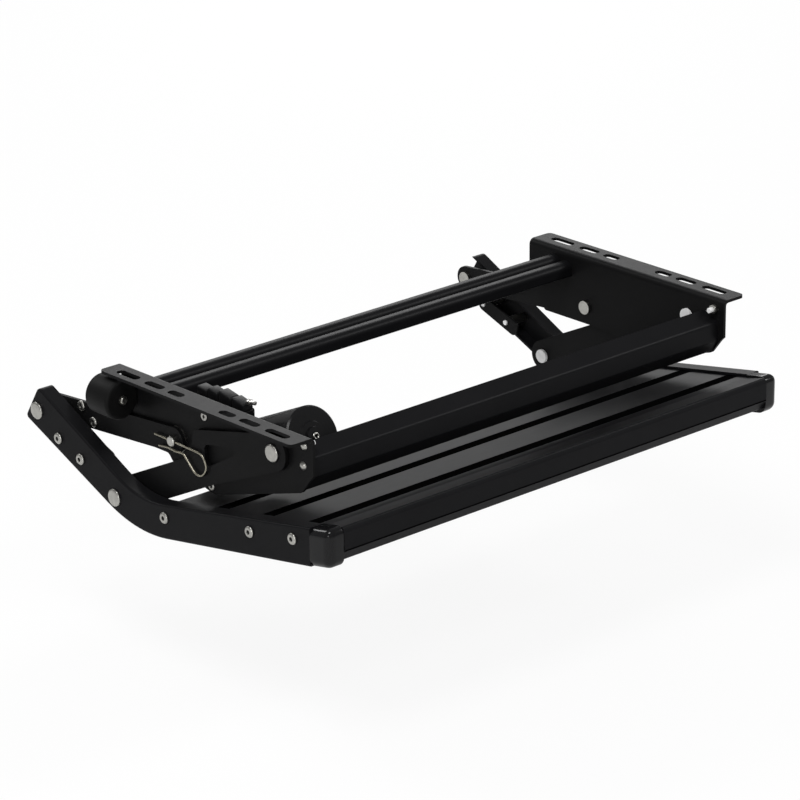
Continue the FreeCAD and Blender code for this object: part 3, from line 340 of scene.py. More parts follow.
@dataclass
class Fastener:
    """A turned fastener with a domed head, along X.

    Args:
        radius: shank radius in millimetres.
        head: head radius in millimetres.
        height: head height in millimetres.
        metals: the material of the fastener, and a dark one that paints the shade inside its socket.
        socket: radius of the hexagonal socket, or 0 for a plain rivet.
        slope: share of the head's radius that slopes to its rim.
        drop: share of the head's height by which the rim is lower.
        foot: radius of the inner head, or 0 for none.
        foot_height: height of the inner head in millimetres.
        dome: whether the head is a plain dome.
    """

    radius: float
    head: float
    height: float
    metals: tuple[bpy.types.Material, ...]
    socket: float = 0.0
    slope: float = 0.22
    drop: float = 0.42
    foot: float = 0.0
    foot_height: float = 2.8
    dome: bool = False

    def model(self, seat: float, tip: float) -> bpy.types.Object:
        """Models one fastener at the middle of the step.

        Args:
            seat: distance from the middle plane to the head's seat, in millimetres.
            tip: distance to the shank's tip, in millimetres.

        Returns:
            The fastener, for the +X side.
        """
        if self.dome:
            return self.turn_outward([self.domed_head(), self.shank(seat - tip)], seat)
        parts = [self.flat_head(), self.shank(seat - tip)]
        if self.foot:
            bpy.ops.mesh.primitive_cylinder_add(vertices=32, radius=self.foot * MM, depth=self.foot_height * MM)
            inner = bpy.context.active_object
            inner.data.transform(Matrix.Translation((0, 0, (tip - seat - self.foot_height / 2) * MM)))
            parts.append(inner)
        return self.turn_outward(parts, seat)

    def flat_head(self) -> bpy.types.Object:
        """Models a flat head with a sloping rim, upright on its seat.

        Returns:
            The head.
        """
        deselect()
        bpy.ops.mesh.primitive_cylinder_add(vertices=40, radius=self.head * MM, depth=self.height * MM)
        piece = bpy.context.active_object
        for material in self.metals:
            piece.data.materials.append(material)
        bpy.ops.object.mode_set(mode="EDIT")
        bpy.ops.mesh.select_mode(type="FACE")
        self.pick(piece, lambda face: face.normal.z > 0.9)
        bpy.ops.mesh.inset(thickness=self.head * self.slope * MM, depth=0.0)
        bpy.ops.object.mode_set(mode="OBJECT")
        rim = self.height * self.drop * MM
        top = self.height / 2 * MM
        for vertex in piece.data.vertices:
            reach = math.hypot(vertex.co.x, vertex.co.y)
            if vertex.co.z > 0 and reach > self.head * 0.9 * MM:
                vertex.co.z -= rim
        bpy.ops.object.mode_set(mode="EDIT")
        self.pick(piece, lambda face: face.normal.z > 0.99 and len(face.vertices) > 8)
        if self.socket:
            flat = self.head * (1.0 - self.slope)
            bpy.ops.mesh.inset(thickness=max(flat - self.socket, 0.2) * MM, depth=0.0)
            bpy.ops.mesh.inset(thickness=0.15 * MM, depth=-self.height * 0.55 * MM)
        else:
            bpy.ops.mesh.inset(thickness=self.head * 0.45 * MM, depth=self.height * 0.06 * MM)
        bpy.ops.object.mode_set(mode="OBJECT")
        bevel = piece.modifiers.new("edge", "BEVEL")
        bevel.width = 0.25 * MM
        bevel.segments = 2
        bevel.limit_method = "ANGLE"
        bpy.ops.object.modifier_apply(modifier="edge")
        # The socket's sunk faces take the second material, a dark colour painted as the shade inside the
        # socket.
        for face in piece.data.polygons:
            inside = math.hypot(face.center.x, face.center.y) < self.socket * 1.01 * MM
            sunk = -top / 2 < face.center.z < top - 0.2 * MM
            face.material_index = 1 if inside and sunk else 0
        piece.data.transform(Matrix.Translation((0, 0, top)))
        return piece

    def domed_head(self) -> bpy.types.Object:
        """Models a head that is part of a ball, upright on its seat.

        Returns:
            The head.
        """
        deselect()
        ball = (self.head ** 2 + self.height ** 2) / (2 * self.height)
        bpy.ops.mesh.primitive_uv_sphere_add(segments=48, ring_count=48, radius=ball * MM,
                                             location=(0, 0, (self.height - ball) * MM))
        piece = bpy.context.active_object
        settle(piece)
        bpy.ops.object.mode_set(mode="EDIT")
        bpy.ops.mesh.select_all(action="SELECT")
        bpy.ops.mesh.bisect(plane_co=(0, 0, 0), plane_no=(0, 0, 1), use_fill=True, clear_inner=True)
        bpy.ops.object.mode_set(mode="OBJECT")
        piece.data.materials.append(self.metals[0])
        return piece

    def shank(self, length: float) -> bpy.types.Object:
        """Models the shank below the head's seat.

        Args:
            length: its length in millimetres.

        Returns:
            The shank.
        """
        bpy.ops.mesh.primitive_cylinder_add(vertices=24, radius=self.radius * MM, depth=length * MM)
        shank = bpy.context.active_object
        shank.data.transform(Matrix.Translation((0, 0, -length / 2 * MM)))
        return shank

    @staticmethod
    def turn_outward(parts: list[bpy.types.Object], seat: float) -> bpy.types.Object:
        """Joins the parts of a fastener and lays it along X.

        Args:
            parts: the head first.
            seat: distance from the middle plane to the head's seat, in millimetres.

        Returns:
            The fastener.
        """
        piece = join(parts, "fastener")
        turn = Matrix.Rotation(math.radians(90.0), 4, "Y")
        piece.data.transform(Matrix.Translation((seat * MM, 0, 0)) @ turn)
        return piece

    @staticmethod
    def pick(piece: bpy.types.Object, test: Callable[[bpy.types.MeshPolygon], bool]) -> None:
        """Selects faces of a piece in edit mode.

        Args:
            piece: the piece.
            test: which faces are taken.
        """
        bpy.ops.mesh.select_all(action="DESELECT")
        bpy.ops.object.mode_set(mode="OBJECT")
        for face in piece.data.polygons:
            face.select = bool(test(face))
        bpy.ops.object.mode_set(mode="EDIT")


def spread(kind: Fastener, seat: float, tip: float, places: list[tuple[float, float]],
           side: int) -> bpy.types.Object:
    """Copies one fastener to its places on one side.

    Args:
        kind: the fastener.
        seat: distance of the head's seat from the middle plane, in millimetres.
        tip: distance of the tip from the middle plane, in millimetres.
        places: (Y, Z) of each, in metres.
        side: +1 for the right side, -1 for the left.

    Returns:
        The joined piece.
    """
    master = kind.model(seat, tip)
    copies = []
    for y, z in places:
        copy = master.copy()
        copy.data = master.data.copy()
        bpy.context.collection.objects.link(copy)
        copy.data.transform(Matrix.Translation((0, y, z)) @ Matrix.Diagonal((side, 1, 1, 1)))
        if side < 0:
            copy.data.flip_normals()
        copies.append(copy)
    bpy.data.objects.remove(master)
    piece = join(copies, "fasteners")
    bpy.ops.object.shade_smooth_by_angle(angle=math.radians(35.0))
    return piece


def dress_nodes(materials: dict[Finish, bpy.types.Material]) -> None:
    """Gives every CAD node its finish."""
    for finish, names in NODE_FINISH.items():
        for name in names:
            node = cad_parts[name]
            node.data.materials.clear()
            node.data.materials.append(materials[finish])
    LOG.info("dressed %d nodes", sum(len(names) for names in NODE_FINISH.values()))


@dataclass(frozen=True)
class Viewpoint:
    """The camera, as an orbit about the step with a small shift and roll.

    Args:
        azimuth: degrees round the step from the front.
        elevation: degrees above the horizon.
        roll: degrees.
        distance: metres from the aimed plane.
        aim: where the view's centre lies, in metres.
        shift: right and up shift of the view, in metres.
        lens: focal length for a 36 mm sensor.
    """

    azimuth: float = -42.47
    elevation: float = 20.55
    roll: float = -0.49
    distance: float = 3.84065
    aim: tuple[float, float, float] = (0.0, 0.0197, 0.0)
    shift: tuple[float, float] = (-0.01478, -0.07049)
    lens: float = 180.95

    def place(self) -> None:
        """Adds the camera and makes it the scene's."""
        around = math.radians(self.azimuth)
        above = math.radians(self.elevation)
        back = Vector((math.sin(around) * math.cos(above), -math.cos(around) * math.cos(above),
                       math.sin(above)))
        level = Vector((math.cos(around), math.sin(around), 0.0))
        upward = back.cross(level)
        roll = math.radians(self.roll)
        right = level * math.cos(roll) + upward * math.sin(roll)
        up = upward * math.cos(roll) - level * math.sin(roll)
        data = bpy.data.cameras.new("camera")
        data.lens = self.lens
        data.sensor_width = 36.0
        data.clip_end = 50.0
        camera = bpy.data.objects.new("camera", data)
        bpy.context.collection.objects.link(camera)
        place = Vector(self.aim) + right * self.shift[0] + up * self.shift[1] + back * self.distance
        turn = Matrix((right, up, back)).transposed().to_4x4()
        camera.matrix_world = Matrix.Translation(place) @ turn
        bpy.context.scene.camera = camera


@dataclass
class Studio:
    """A pale floor, a white surround and soft lamps.

    Args:
        floor_level: height of the floor in metres.
        lamps: (place, size, power) of each soft lamp.
        unseen: strength of the world as a light.
        seen: how much stronger the camera sees it.
        glow: share of plain white in the floor that the camera sees.
    """

    floor_level: float
    lamps: tuple[tuple[tuple[float, float, float], float, float], ...] = (
        ((-1.4, -0.6, 2.4), 1.0, 44.0),
        ((1.8, -1.4, 1.5), 0.7, 26.0),
        ((1.9, 2.1, 1.15), 1.5, 24.0),
        ((-0.6, 2.0, 1.6), 0.7, 14.0),
        ((-2.4, -1.2, 0.5), 0.5, 10.0),
    )
    unseen: float = 0.34
    seen: float = 0.66
    glow: float = 0.88

    def light(self) -> None:
        """Adds the lamps, each aimed at the step."""
        for index, (place, width, power) in enumerate(self.lamps):
            data = bpy.data.lights.new("lamp_%d" % index, "AREA")
            data.shape = "SQUARE"
            data.size = width
            data.energy = power
            lamp = bpy.data.objects.new("lamp_%d" % index, data)
            bpy.context.collection.objects.link(lamp)
            lamp.location = place
            lamp.rotation_euler = (Vector((0, 0, -0.05)) - Vector(place)).to_track_quat("-Z", "Y").to_euler()

    def surround(self) -> None:
        """Makes the world white to the camera, and softer as a light."""
        world = bpy.data.worlds.new("surround")
        bpy.context.scene.world = world
        world.use_nodes = True
        tree = world.node_tree
        background = tree.nodes["Background"]
        path = tree.nodes.new("ShaderNodeLightPath")
        strength = Value(tree, path.outputs["Is Camera Ray"]) * self.seen + self.unseen
        background.inputs["Color"].default_value = (1.0, 1.0, 1.0, 1.0)
        tree.links.new(strength.socket, background.inputs["Strength"])

    def floor(self) -> None:
        """Adds the floor."""
        deselect()
        bpy.ops.mesh.primitive_plane_add(size=40.0, location=(0.0, 0.0, self.floor_level))
        ground = bpy.context.active_object
        ground.name = "floor"
        shader = Shader("pale_floor")
        shader.surface.inputs["Base Color"].default_value = (0.86, 0.86, 0.86, 1.0)
        shader.surface.inputs["Roughness"].default_value = 0.9
        glow = shader.add("ShaderNodeEmission", None, {"Color": (1.0, 1.0, 1.0, 1.0), "Strength": 1.0})
        path = shader.add("ShaderNodeLightPath")
        share = Value(shader.tree, path.outputs["Is Camera Ray"]) * self.glow
        mixed = shader.add("ShaderNodeMixShader", None, {0: share.socket})
        shader.tree.links.new(shader.surface.outputs[0], mixed.inputs[1])
        shader.tree.links.new(glow.outputs[0], mixed.inputs[2])
        shader.tree.links.new(mixed.outputs[0], shader.tree.nodes["Material Output"].inputs["Surface"])
        ground.data.materials.append(shader.material)


def centre_of(node: str) -> tuple[float, float]:
    """The (Y, Z) middle of a node's box, in metres."""
    low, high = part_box(node)
    return ((low[1] + high[1]) / 2, (low[2] + high[2]) / 2)


def islands(node: str, side: int) -> list[tuple[float, float]]:
    """Finds the solids of a node on one side.

    Args:
        node: the node's name.
        side: +1 for the right side, -1 for the left.

    Returns:
        The (Y, Z) middle of each solid, in metres.
    """
    groups: list[list[Vector]] = []
    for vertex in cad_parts[node].data.vertices:
        if vertex.co.x * side < 0:
            continue
        for group in groups:
            if math.hypot(group[0].y - vertex.co.y, group[0].z - vertex.co.z) < SCREW_SPACING:
                group.append(vertex.co.copy())
                break
        else:
            groups.append([vertex.co.copy()])
    middles = []
    for group in groups:
        ys = [point.y for point in group]
        zs = [point.z for point in group]
        middles.append(((min(ys) + max(ys)) / 2, (min(zs) + max(zs)) / 2))
    return middles


def block(size: tuple[float, float, float], centre: tuple[float, float, float]) -> bpy.types.Object:
    """Adds a box.

    Args:
        size: its X, Y and Z lengths in millimetres.
        centre: its middle in millimetres.

    Returns:
        The box.
    """
    deselect()
    bpy.ops.mesh.primitive_cube_add(size=1.0, location=[value * MM for value in centre])
    piece = bpy.context.active_object
    piece.scale = [value * MM for value in size]
    settle(piece)
    return piece


def barrel(radius: float, depth: float, centre: tuple[float, float, float], axis: Vector,
           sides: int = 48) -> bpy.types.Object:
    """Adds a round bar.

    Args:
        radius: its radius in millimetres.
        depth: its length in millimetres.
        centre: its middle in millimetres.
        axis: which way it lies.
        sides: faces round it.

    Returns:
        The bar.
    """
    deselect()
    bpy.ops.mesh.primitive_cylinder_add(vertices=sides, radius=radius * MM, depth=depth * MM,
                                        location=[value * MM for value in centre])
    piece = bpy.context.active_object
    piece.rotation_euler = axis.to_track_quat("Z", "Y").to_euler()
    settle(piece)
    return piece


def soften(piece: bpy.types.Object, width: float, segments: int = 3) -> None:
    """Rounds a piece's sharp edges.

    Args:
        piece: the piece.
        width: the rounding in millimetres.
        segments: how many faces a rounding has.
    """
    deselect()
    piece.select_set(True)
    bpy.context.view_layer.objects.active = piece
    bevel = piece.modifiers.new("rounding", "BEVEL")
    bevel.width = width * MM
    bevel.segments = segments
    bevel.limit_method = "ANGLE"
    bevel.angle_limit = SMOOTH_UNDER
    bpy.ops.object.modifier_apply(modifier="rounding")
    bpy.ops.object.shade_smooth_by_angle(angle=SMOOTH_UNDER)


@dataclass
class Buffer:
    """The soft rubber stop on the left bracket.

    Args:
        radius: its radius in millimetres.
        flat: where it is cut flat against the web, along X, in millimetres.
        rounding: the rounding of its rims in millimetres.
        ring: radius and height of its screw's washer in millimetres.
        head: radius and height of its screw's head in millimetres.
    """

    radius: float = 19.5
    flat: float = -268.05
    rounding: float = 3.4
    ring: tuple[float, float] = (4.6, 1.0)
    head: tuple[float, float] = (3.3, 2.0)

    def make(self, materials: dict[Finish, bpy.types.Material]) -> None:
        """Makes the stop and its bright screw.

        Args:
            materials: the finishes.
        """
        low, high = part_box("rubber_buffer")
        centre = ((low[0] / MM + self.radius), (low[1] + high[1]) / 2 / MM, (low[2] + high[2]) / 2 / MM)
        stop = barrel(self.radius, (high[1] - low[1]) / MM, centre, ALONG_Y, 72)
        bpy.ops.object.mode_set(mode="EDIT")
        bpy.ops.mesh.select_all(action="SELECT")
        bpy.ops.mesh.bisect(plane_co=(self.flat * MM, 0, 0), plane_no=(1, 0, 0), use_fill=True,
                            clear_outer=True)
        bpy.ops.object.mode_set(mode="OBJECT")
        soften(stop, self.rounding, 5)
        finish_piece(stop, "buffer_block", materials[Finish.RUBBER], "frame",
                     ("rubber_buffer",))
        screw_low, screw_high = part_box("buffer_screw")
        place = [(a + b) / 2 / MM for a, b in zip(screw_low, screw_high)]
        rear = screw_high[1] / MM
        ring = barrel(*self.ring, (place[0], rear - 0.5, place[2]), ALONG_Y, 32)
        head = barrel(*self.head, (place[0], rear - 1.5, place[2]), ALONG_Y, 32)
        soften(head, 1.0, 4)
        finish_piece(join([head, ring], "buffer_bolt"), "buffer_bolt", materials[Finish.ZINC], "frame",
                     ("buffer_screw",))


@dataclass
class Gearbox:
    """The worm gearbox beside the left web.

    Args:
        case: radius of the wheel case in millimetres.
        worm: radius of the worm tube in millimetres.
        worm_drop: worm axis below the output axis, across its slope, in millimetres.
        slope: slope of the worm axis, front end up, in degrees.
        tail: worm tube behind the output axis in millimetres.
        front: worm tube in front of the output axis in millimetres.
        worm_plane: X of the worm axis in millimetres.
        back: X of the case's face beside the web, in millimetres.
        face: X of the case's open face, in millimetres.
        cover_lip: how far the cover stands out past the case, in millimetres.
        cover: thickness of the cover in millimetres.
        boss: radius and height of the boss on the cover in millimetres.
        ears: (Y, Z) of the two fixing eyes, in millimetres.
        ear_plane: X of the middle of the ears in millimetres.
        ear: width of the ears in millimetres.
        eye: radius of the fixing eyes in millimetres.
        screw: radius and height of a cover screw in millimetres.
        screw_count: how many cover screws there are.
    """

    case: float = 17.0
    worm: float = 17.0
    worm_drop: float = 32.2
    slope: float = 24.8
    tail: float = 34.0
    front: float = 36.5
    worm_plane: float = -216.0
    back: float = -265.0
    face: float = -198.0
    cover_lip: float = 1.2
    cover: float = 3.5
    boss: tuple[float, float] = (10.0, 7.5)
    ears: tuple[tuple[float, float], ...] = ((15.2, -20.5), (7.0, -87.0))
    ear_plane: float = -258.0
    ear: float = 14.0
    eye: float = 7.5
    screw: tuple[float, float] = (1.9, 2.2)
    screw_count: int = 6

    def make(self, materials: dict[Finish, bpy.types.Material]) -> None:
        """Makes the housing with its cover, ears and cover screws.

        Args:
            materials: the finishes.
        """
        hub_y, hub_z = (value / MM for value in centre_of("drive_hub"))
        case = barrel(self.case, self.face - self.back, ((self.back + self.face) / 2, hub_y, hub_z),
                      ALONG_X, 64)
        cover = barrel(self.case + self.cover_lip, self.cover, (self.face + self.cover / 2, hub_y, hub_z),
                       ALONG_X, 64)
        boss = barrel(*self.boss, (self.face + self.boss[1] / 2, hub_y, hub_z), ALONG_X)
        angle = math.radians(self.slope)
        heading = Vector((0, -math.cos(angle), math.sin(angle)))
        across = Vector((0, math.sin(angle), math.cos(angle)))
        middle = Vector((self.worm_plane, hub_y, hub_z))
        middle += heading * ((self.front - self.tail) / 2) - across * self.worm_drop
        tube = barrel(self.worm, self.front + self.tail, tuple(middle), heading, 64)
        parts = [case, cover, boss, tube]
        for y, z in self.ears:
            run = Vector((0, y - hub_y, z - hub_z))
            ear = block((self.ear, run.length, self.ear), (self.ear_plane, 0.0, 0.0))
            turn = Matrix.Rotation(math.atan2(run.z, run.y), 4, "X")
            ear.data.transform(Matrix.Translation((0, (hub_y + y) / 2 * MM, (hub_z + z) / 2 * MM)) @ turn)
            parts += [ear, barrel(self.eye, self.ear, (self.ear_plane, y, z), ALONG_X, 40)]
        for part in parts:
            soften(part, 1.2)
        finish_piece(join(parts, "gearbox_shell"), "gearbox_shell", materials[Finish.CAST], "frame",
                     ("gearbox_housing", "gearbox_cover"))
        screws = []
        reach = self.case - 3.2
        for index in range(self.screw_count):
            bearing = math.radians(30 + 360 / self.screw_count * index)
            place = (self.face + 4.5, hub_y + reach * math.cos(bearing), hub_z + reach * math.sin(bearing))
            screw = barrel(*self.screw, place, ALONG_X, 24)
            soften(screw, 0.5, 2)
            screws.append(screw)
        finish_piece(join(screws, "case_screws"), "case_screws", materials[Finish.ZINC], "frame",
                     ("gearbox_cover_screws",))


@dataclass
class Terminals:
    """The ribbed plug row on the connector block, and its front stud.

    Args:
        width: width of the plugs in millimetres.
        lumps: front end, rear end, top and front fall of each plug, in millimetres.
        lean: how far a plug's front top leans back, in millimetres.
        stud: (radius, length) of the stud, in millimetres.
        nut: (radius, length) of its nut, in millimetres.
        stud_place: (Y, Z) of the stud's middle, in millimetres.
        nut_place: (Y, Z) of the nut's middle, in millimetres.
    """

    width: float = 12.0
    lumps: tuple[tuple[float, float, float, float], ...] = (
        (34.0, 49.0, -4.0, 1.5), (19.0, 33.0, -2.0, 2.5), (0.0, 18.0, -0.8, 3.2), (-18.0, -1.0, -2.6, 3.4))
    lean: float = 1.5
    stud: tuple[float, float] = (2.0, 12.0)
    nut: tuple[float, float] = (3.4, 3.2)
    stud_place: tuple[float, float] = (-21.5, -3.6)
    nut_place: tuple[float, float] = (-19.5, -4.0)

    def make(self, materials: dict[Finish, bpy.types.Material]) -> None:
        """Makes the plugs and the bright stud.

        Args:
            materials: the finishes.
        """
        low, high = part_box("connector_terminals")
        middle = (low[0] + high[0]) / 2 / MM
        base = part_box("connector_block")[1][2] / MM
        plugs = []
        for start, end, top, fall in self.lumps:
            plug = block((self.width, end - start, top - base), (middle, (start + end) / 2, (top + base) / 2))
            for vertex in plug.data.vertices:
                if vertex.co.z > (base + 1.0) * MM and vertex.co.y < (start + end) / 2 * MM:
                    vertex.co.z -= fall * MM
                    vertex.co.y += self.lean * MM
            soften(plug, 1.4, 3)
            plugs.append(plug)
        finish_piece(join(plugs, "plug_row"), "plug_row", materials[Finish.MATTE], "frame",
                     ("connector_terminals",))
        heading = Vector((0.0, -1.0, 0.12)).normalized()
        stud = barrel(*self.stud, (middle, *self.stud_place), heading, 28)
        nut = barrel(*self.nut, (middle, *self.nut_place), heading, 6)
        soften(stud, 0.5, 2)
        soften(nut, 0.4, 2)
        finish_piece(join([stud, nut], "stud"), "plug_stud", materials[Finish.TERMINAL], "frame",
                     ())


@dataclass
class TreadTrim:
    """The moulded corners of the tread's nose, and a near-black line along it that paints the shade of its fine
    groove.

    Args:
        nose: (Y, Z) of the ridge line at the nose, in millimetres.
        tilt: slope of the tread in degrees.
        profile: front and rear corners of a cap, as (along, depth) from the nose, top first.
        inner: inner face of a cap from the middle plane, in millimetres.
        outer: outer face of a cap from the middle plane, in millimetres.
        rounding: rounding of a cap's outer edges in millimetres.
        groove: (along, depth) of the near-black line painted as the fine groove's shade, in millimetres.
        groove_size: its thickness and height in millimetres.
    """

    nose: tuple[float, float] = (-184.0, -67.8)
    tilt: float = 10.4
    profile: tuple[tuple[float, float], ...] = ((0.8, 0.0), (27.4, 0.0), (34.2, 37.4), (7.6, 37.4))
    inner: float = 275.0
    outer: float = 293.0
    rounding: float = 8.5
    groove: tuple[float, float] = (4.45, 23.6)
    groove_size: tuple[float, float] = (0.7, 1.1)

    def point(self, along: float, depth: float) -> tuple[float, float]:
        """A (Y, Z) place on the tread, in millimetres."""
        slope = math.radians(self.tilt)
        return (self.nose[0] + along * math.cos(slope) - depth * math.sin(slope),
                self.nose[1] - along * math.sin(slope) - depth * math.cos(slope))

    def cap(self, side: int) -> bpy.types.Object:
        """Models one corner.

        Args:
            side: +1 for the right end, -1 for the left.

        Returns:
            The corner piece.
        """
        piece = block((2.0, 2.0, 2.0), (0.0, 0.0, 0.0))
        for vertex in piece.data.vertices:
            rear, high = vertex.co.y > 0, vertex.co.z > 0
            along, depth = self.profile[(1 if rear else 0) if high else (2 if rear else 3)]
            place = (self.outer if vertex.co.x > 0 else self.inner, *self.point(along, depth))
            vertex.co = [value * MM for value in place]
        deselect()
        piece.select_set(True)
        bpy.context.view_layer.objects.active = piece
        bpy.ops.object.mode_set(mode="EDIT")
        bpy.ops.mesh.select_mode(type="EDGE")
        bpy.ops.mesh.select_all(action="DESELECT")
        bpy.ops.object.mode_set(mode="OBJECT")
        for edge in piece.data.edges:
            edge.select = self.rounds([piece.data.vertices[index].co for index in edge.vertices])
        bpy.ops.object.mode_set(mode="EDIT")
        bpy.ops.mesh.bevel(offset=self.rounding * MM, segments=7, affect="EDGES", clamp_overlap=True)
        bpy.ops.mesh.select_all(action="SELECT")
        bpy.ops.mesh.remove_doubles(threshold=0.00001)
        bpy.ops.mesh.normals_make_consistent(inside=False)
        bpy.ops.object.mode_set(mode="OBJECT")
        bpy.ops.object.shade_smooth_by_angle(angle=math.radians(50.0))
        if side < 0:
            piece.data.transform(Matrix.Diagonal((-1, 1, 1, 1)))
            piece.data.flip_normals()
        return piece

    def rounds(self, ends: list[Vector]) -> bool:
        """Whether an edge of a corner is rounded: those of its outer face and front, but the rear one.

        Args:
            ends: the edge's ends, in metres.

        Returns:
            True for a rounded edge.
        """
        fronts = [self.point(*self.profile[index])[0] * MM for index in (0, 3)]
        ahead = [min(abs(end.y - front) for front in fronts) < 0.5 * MM for end in ends]
        outside = all(end.x > (self.outer - 1) * MM for end in ends)
        inside = all(end.x < (self.inner + 1) * MM for end in ends)
        return (outside or all(ahead)) and any(ahead) and not inside

    def make(self, materials: dict[Finish, bpy.types.Material]) -> None:
        """Makes both corners and the near-black line painted as the groove's shade.

        Args:
            materials: the finishes.
        """
        for side, name in ((-1, "left"), (1, "right")):
            finish_piece(self.cap(side), name + "_nose_corner", materials[Finish.GLOSS], "tread",
                         (name + "_end_cap",))
        # A near-black bar in the grip material paints the shade of the fine groove along the nose.
        line = block((2 * self.inner - 1.0, *self.groove_size), (0.0, *self.point(*self.groove)))
        finish_piece(line, "nose_groove_shade", materials[Finish.GRIP], "tread", ())


COLLAR_RINGS = ((8.6, 0.7, 0.8), (5.6, 0.9, 2.4), (2.6, 1.1, 3.8))


def shaft_collar(metal: bpy.types.Material) -> None:
    """Makes the bright rings in the middle of the motor's front end.

    Args:
        metal: its finish.
    """
    low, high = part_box("motor_bearing_cup")
    angle = math.radians(Gearbox.slope)
    heading = Vector((0.0, -math.cos(angle), math.sin(angle)))
    middle = Vector([(a + b) / 2 for a, b in zip(low, high)])
    turn = heading.to_track_quat("Z", "Y").to_matrix().to_4x4()
    rings = []
    for radius, wire, ahead in COLLAR_RINGS:
        deselect()
        bpy.ops.mesh.primitive_torus_add(major_radius=radius * MM, minor_radius=wire * MM,
                                         major_segments=64, minor_segments=12)
        ring = bpy.context.active_object
        settle(ring)
        ring.data.transform(Matrix.Translation(middle + heading * ahead * MM) @ turn)
        rings.append(ring)
    piece = join(rings, "motor_collar")
    bpy.ops.object.shade_smooth()
    finish_piece(piece, "motor_collar", metal, "frame", ())


def hang(piece: bpy.types.Object, name: str, body: str, nodes: tuple[str, ...]) -> None:
    """Names a piece and hangs it on its body.

    Args:
        piece: the piece.
        name: its name.
        body: the body it rides on.
        nodes: the CAD nodes that it replaces.
    """
    piece.name = name
    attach(piece, body)
    for node in nodes:
        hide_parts(node)
    LOG.info("made %s", name)


def finish_piece(piece: bpy.types.Object, name: str, material: bpy.types.Material, body: str,
                 nodes: tuple[str, ...]) -> None:
    """Dresses a finished piece in one material and hangs it.

    Args:
        piece: the piece.
        name: its name.
        material: its finish.
        body: the body it rides on.
        nodes: the CAD nodes that it replaces.
    """
    piece.data.materials.clear()
    piece.data.materials.append(material)
    for face in piece.data.polygons:
        face.material_index = 0
    hang(piece, name, body, nodes)


def dress_screws(materials: dict[Finish, bpy.types.Material]) -> None:
    """Replaces the plain screws by domed ones with hexagonal sockets.

    Args:
        materials: the finishes.
    """
    # The second metal is a dark colour painted as shade inside the sockets.
    metals = (materials[Finish.ZINC], materials[Finish.PAINTED_SOCKET_SHADE])
    wide = Fastener(radius=2.5, head=5.5, height=2.4, metals=metals, socket=2.1)
    small = Fastener(radius=2.5, head=5.0, height=2.0, metals=metals, socket=1.9)
    acorn = Fastener(radius=2.5, head=4.2, height=2.2, metals=metals, dome=True)
    flat = Fastener(radius=2.5, head=4.2, height=0.8, metals=metals, socket=1.7)
    stub = Fastener(radius=5.0, head=8.5, height=2.35, metals=metals, slope=0.13, drop=0.36)
    rivet = replace(stub, foot=7.0)
    rows = (
        ("arm_pivot_rivets", rivet, 273.2, 265.0, "frame", "arm_rivet_heads"),
        ("tread_pivot_rivets", rivet, 293.0, 268.8, "tread", "tread_rivet_heads"),
        ("rear_channel_stubs", stub, 293.0, 275.7, "tread", "rear_stub_heads"),
        ("tread_screws", wide, 293.0, 276.5, "tread", "tread_screw_heads"),
        ("plate_screws", wide, 293.0, 263.0, "tread", "plate_screw_heads"),
        ("cross_bar_screws", small, 272.5, 255.0, "rear_links", "cross_bar_screw_heads"),
    )
    for node, kind, seat, tip, body, name in rows:
        pieces = []
        for side in (-1, 1):
            places = [centre_of(node)] if kind in (rivet, stub) else islands(node, side)
            pieces.append(spread(kind, seat, tip, places, side))
        hang(join(pieces, name), name, body, (node,))
    pieces = []
    for side in (-1, 1):
        for place in islands("bracket_screws", side):
            kind = acorn if place[0] < NOSE_SCREWS_BEFORE else flat
            pieces.append(spread(kind, 268.0, 256.0, [place], side))
    hang(join(pieces, "bracket_screw_heads"), "bracket_screw_heads", "frame", ("bracket_screws",))


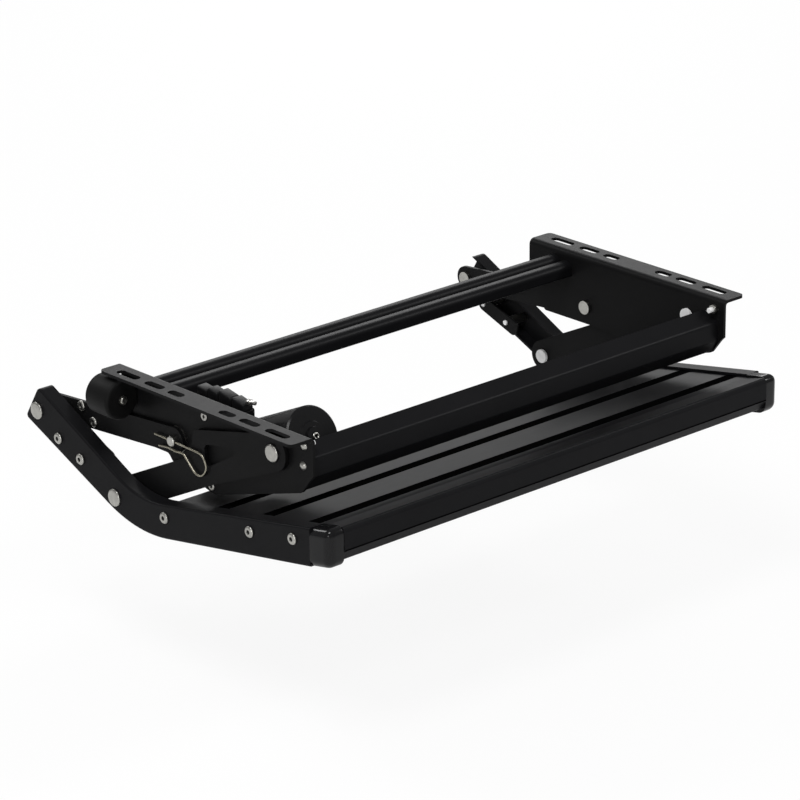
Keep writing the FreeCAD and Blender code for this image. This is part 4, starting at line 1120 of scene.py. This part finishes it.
@dataclass
class SpringClip:
    """The round wire clip of the removable pin.

    Args:
        wire: wire radius in millimetres.
        route: (Y, Z) points from the pin's centre, in millimetres.
    """

    wire: float = 1.1
    route: tuple[tuple[float, float], ...] = (
        (25.0, 0.6), (10.0, 0.24), (-20.0, -0.5), (-37.0, -0.9), (-43.5, -2.2),
        (-47.6, -8.0), (-49.0, -13.5), (-46.5, -19.0), (-41.0, -23.6), (-35.5, -23.6),
        (-31.5, -22.0), (-28.0, -18.8), (-20.0, -11.2), (-16.5, -8.0), (-11.0, -8.2),
        (-5.5, -8.9), (-1.0, -8.4), (4.0, -7.8), (12.0, -8.5), (19.0, -9.5))

    def make(self, material: bpy.types.Material) -> None:
        """Makes the clip where the CAD clip lies.

        Args:
            material: the spring finish.
        """
        low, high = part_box("spring_clip")
        place_x = (low[0] + high[0]) / 2
        pin_y, pin_z = centre_of("clevis_pin")
        curve = bpy.data.curves.new("clip_route", "CURVE")
        curve.dimensions = "3D"
        spline = curve.splines.new("NURBS")
        spline.points.add(len(self.route) - 1)
        for point, (y, z) in zip(spline.points, self.route):
            point.co = (place_x, pin_y + y * MM, pin_z + z * MM, 1.0)
        spline.order_u = 3
        spline.use_endpoint_u = True
        spline.resolution_u = 6
        curve.bevel_depth = self.wire * MM
        curve.bevel_resolution = 4
        curve.use_fill_caps = True
        clip = bpy.data.objects.new("clip_wire", curve)
        bpy.context.collection.objects.link(clip)
        deselect()
        clip.select_set(True)
        bpy.context.view_layer.objects.active = clip
        bpy.ops.object.convert(target="MESH")
        clip = bpy.context.active_object
        clip.data.materials.append(material)
        bpy.ops.object.shade_smooth()
        hang(clip, "clip_wire", "frame", ("spring_clip",))


def main() -> None:
    """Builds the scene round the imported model."""
    logging.basicConfig(level=logging.INFO)
    bpy.context.scene.view_settings.view_transform = "Standard"
    Viewpoint().place()
    studio = Studio(floor_level=-DEEPEST_REACH)
    studio.light()
    studio.surround()
    studio.floor()
    materials = {finish: make_finish(finish) for finish in Finish}
    dress_nodes(materials)
    dress_screws(materials)
    SpringClip().make(materials[Finish.SPRING])
    Buffer().make(materials)
    Gearbox().make(materials)
    Terminals().make(materials)
    shaft_collar(materials[Finish.ZINC])
    TreadTrim().make(materials)


if __name__ == "__main__":
    main()
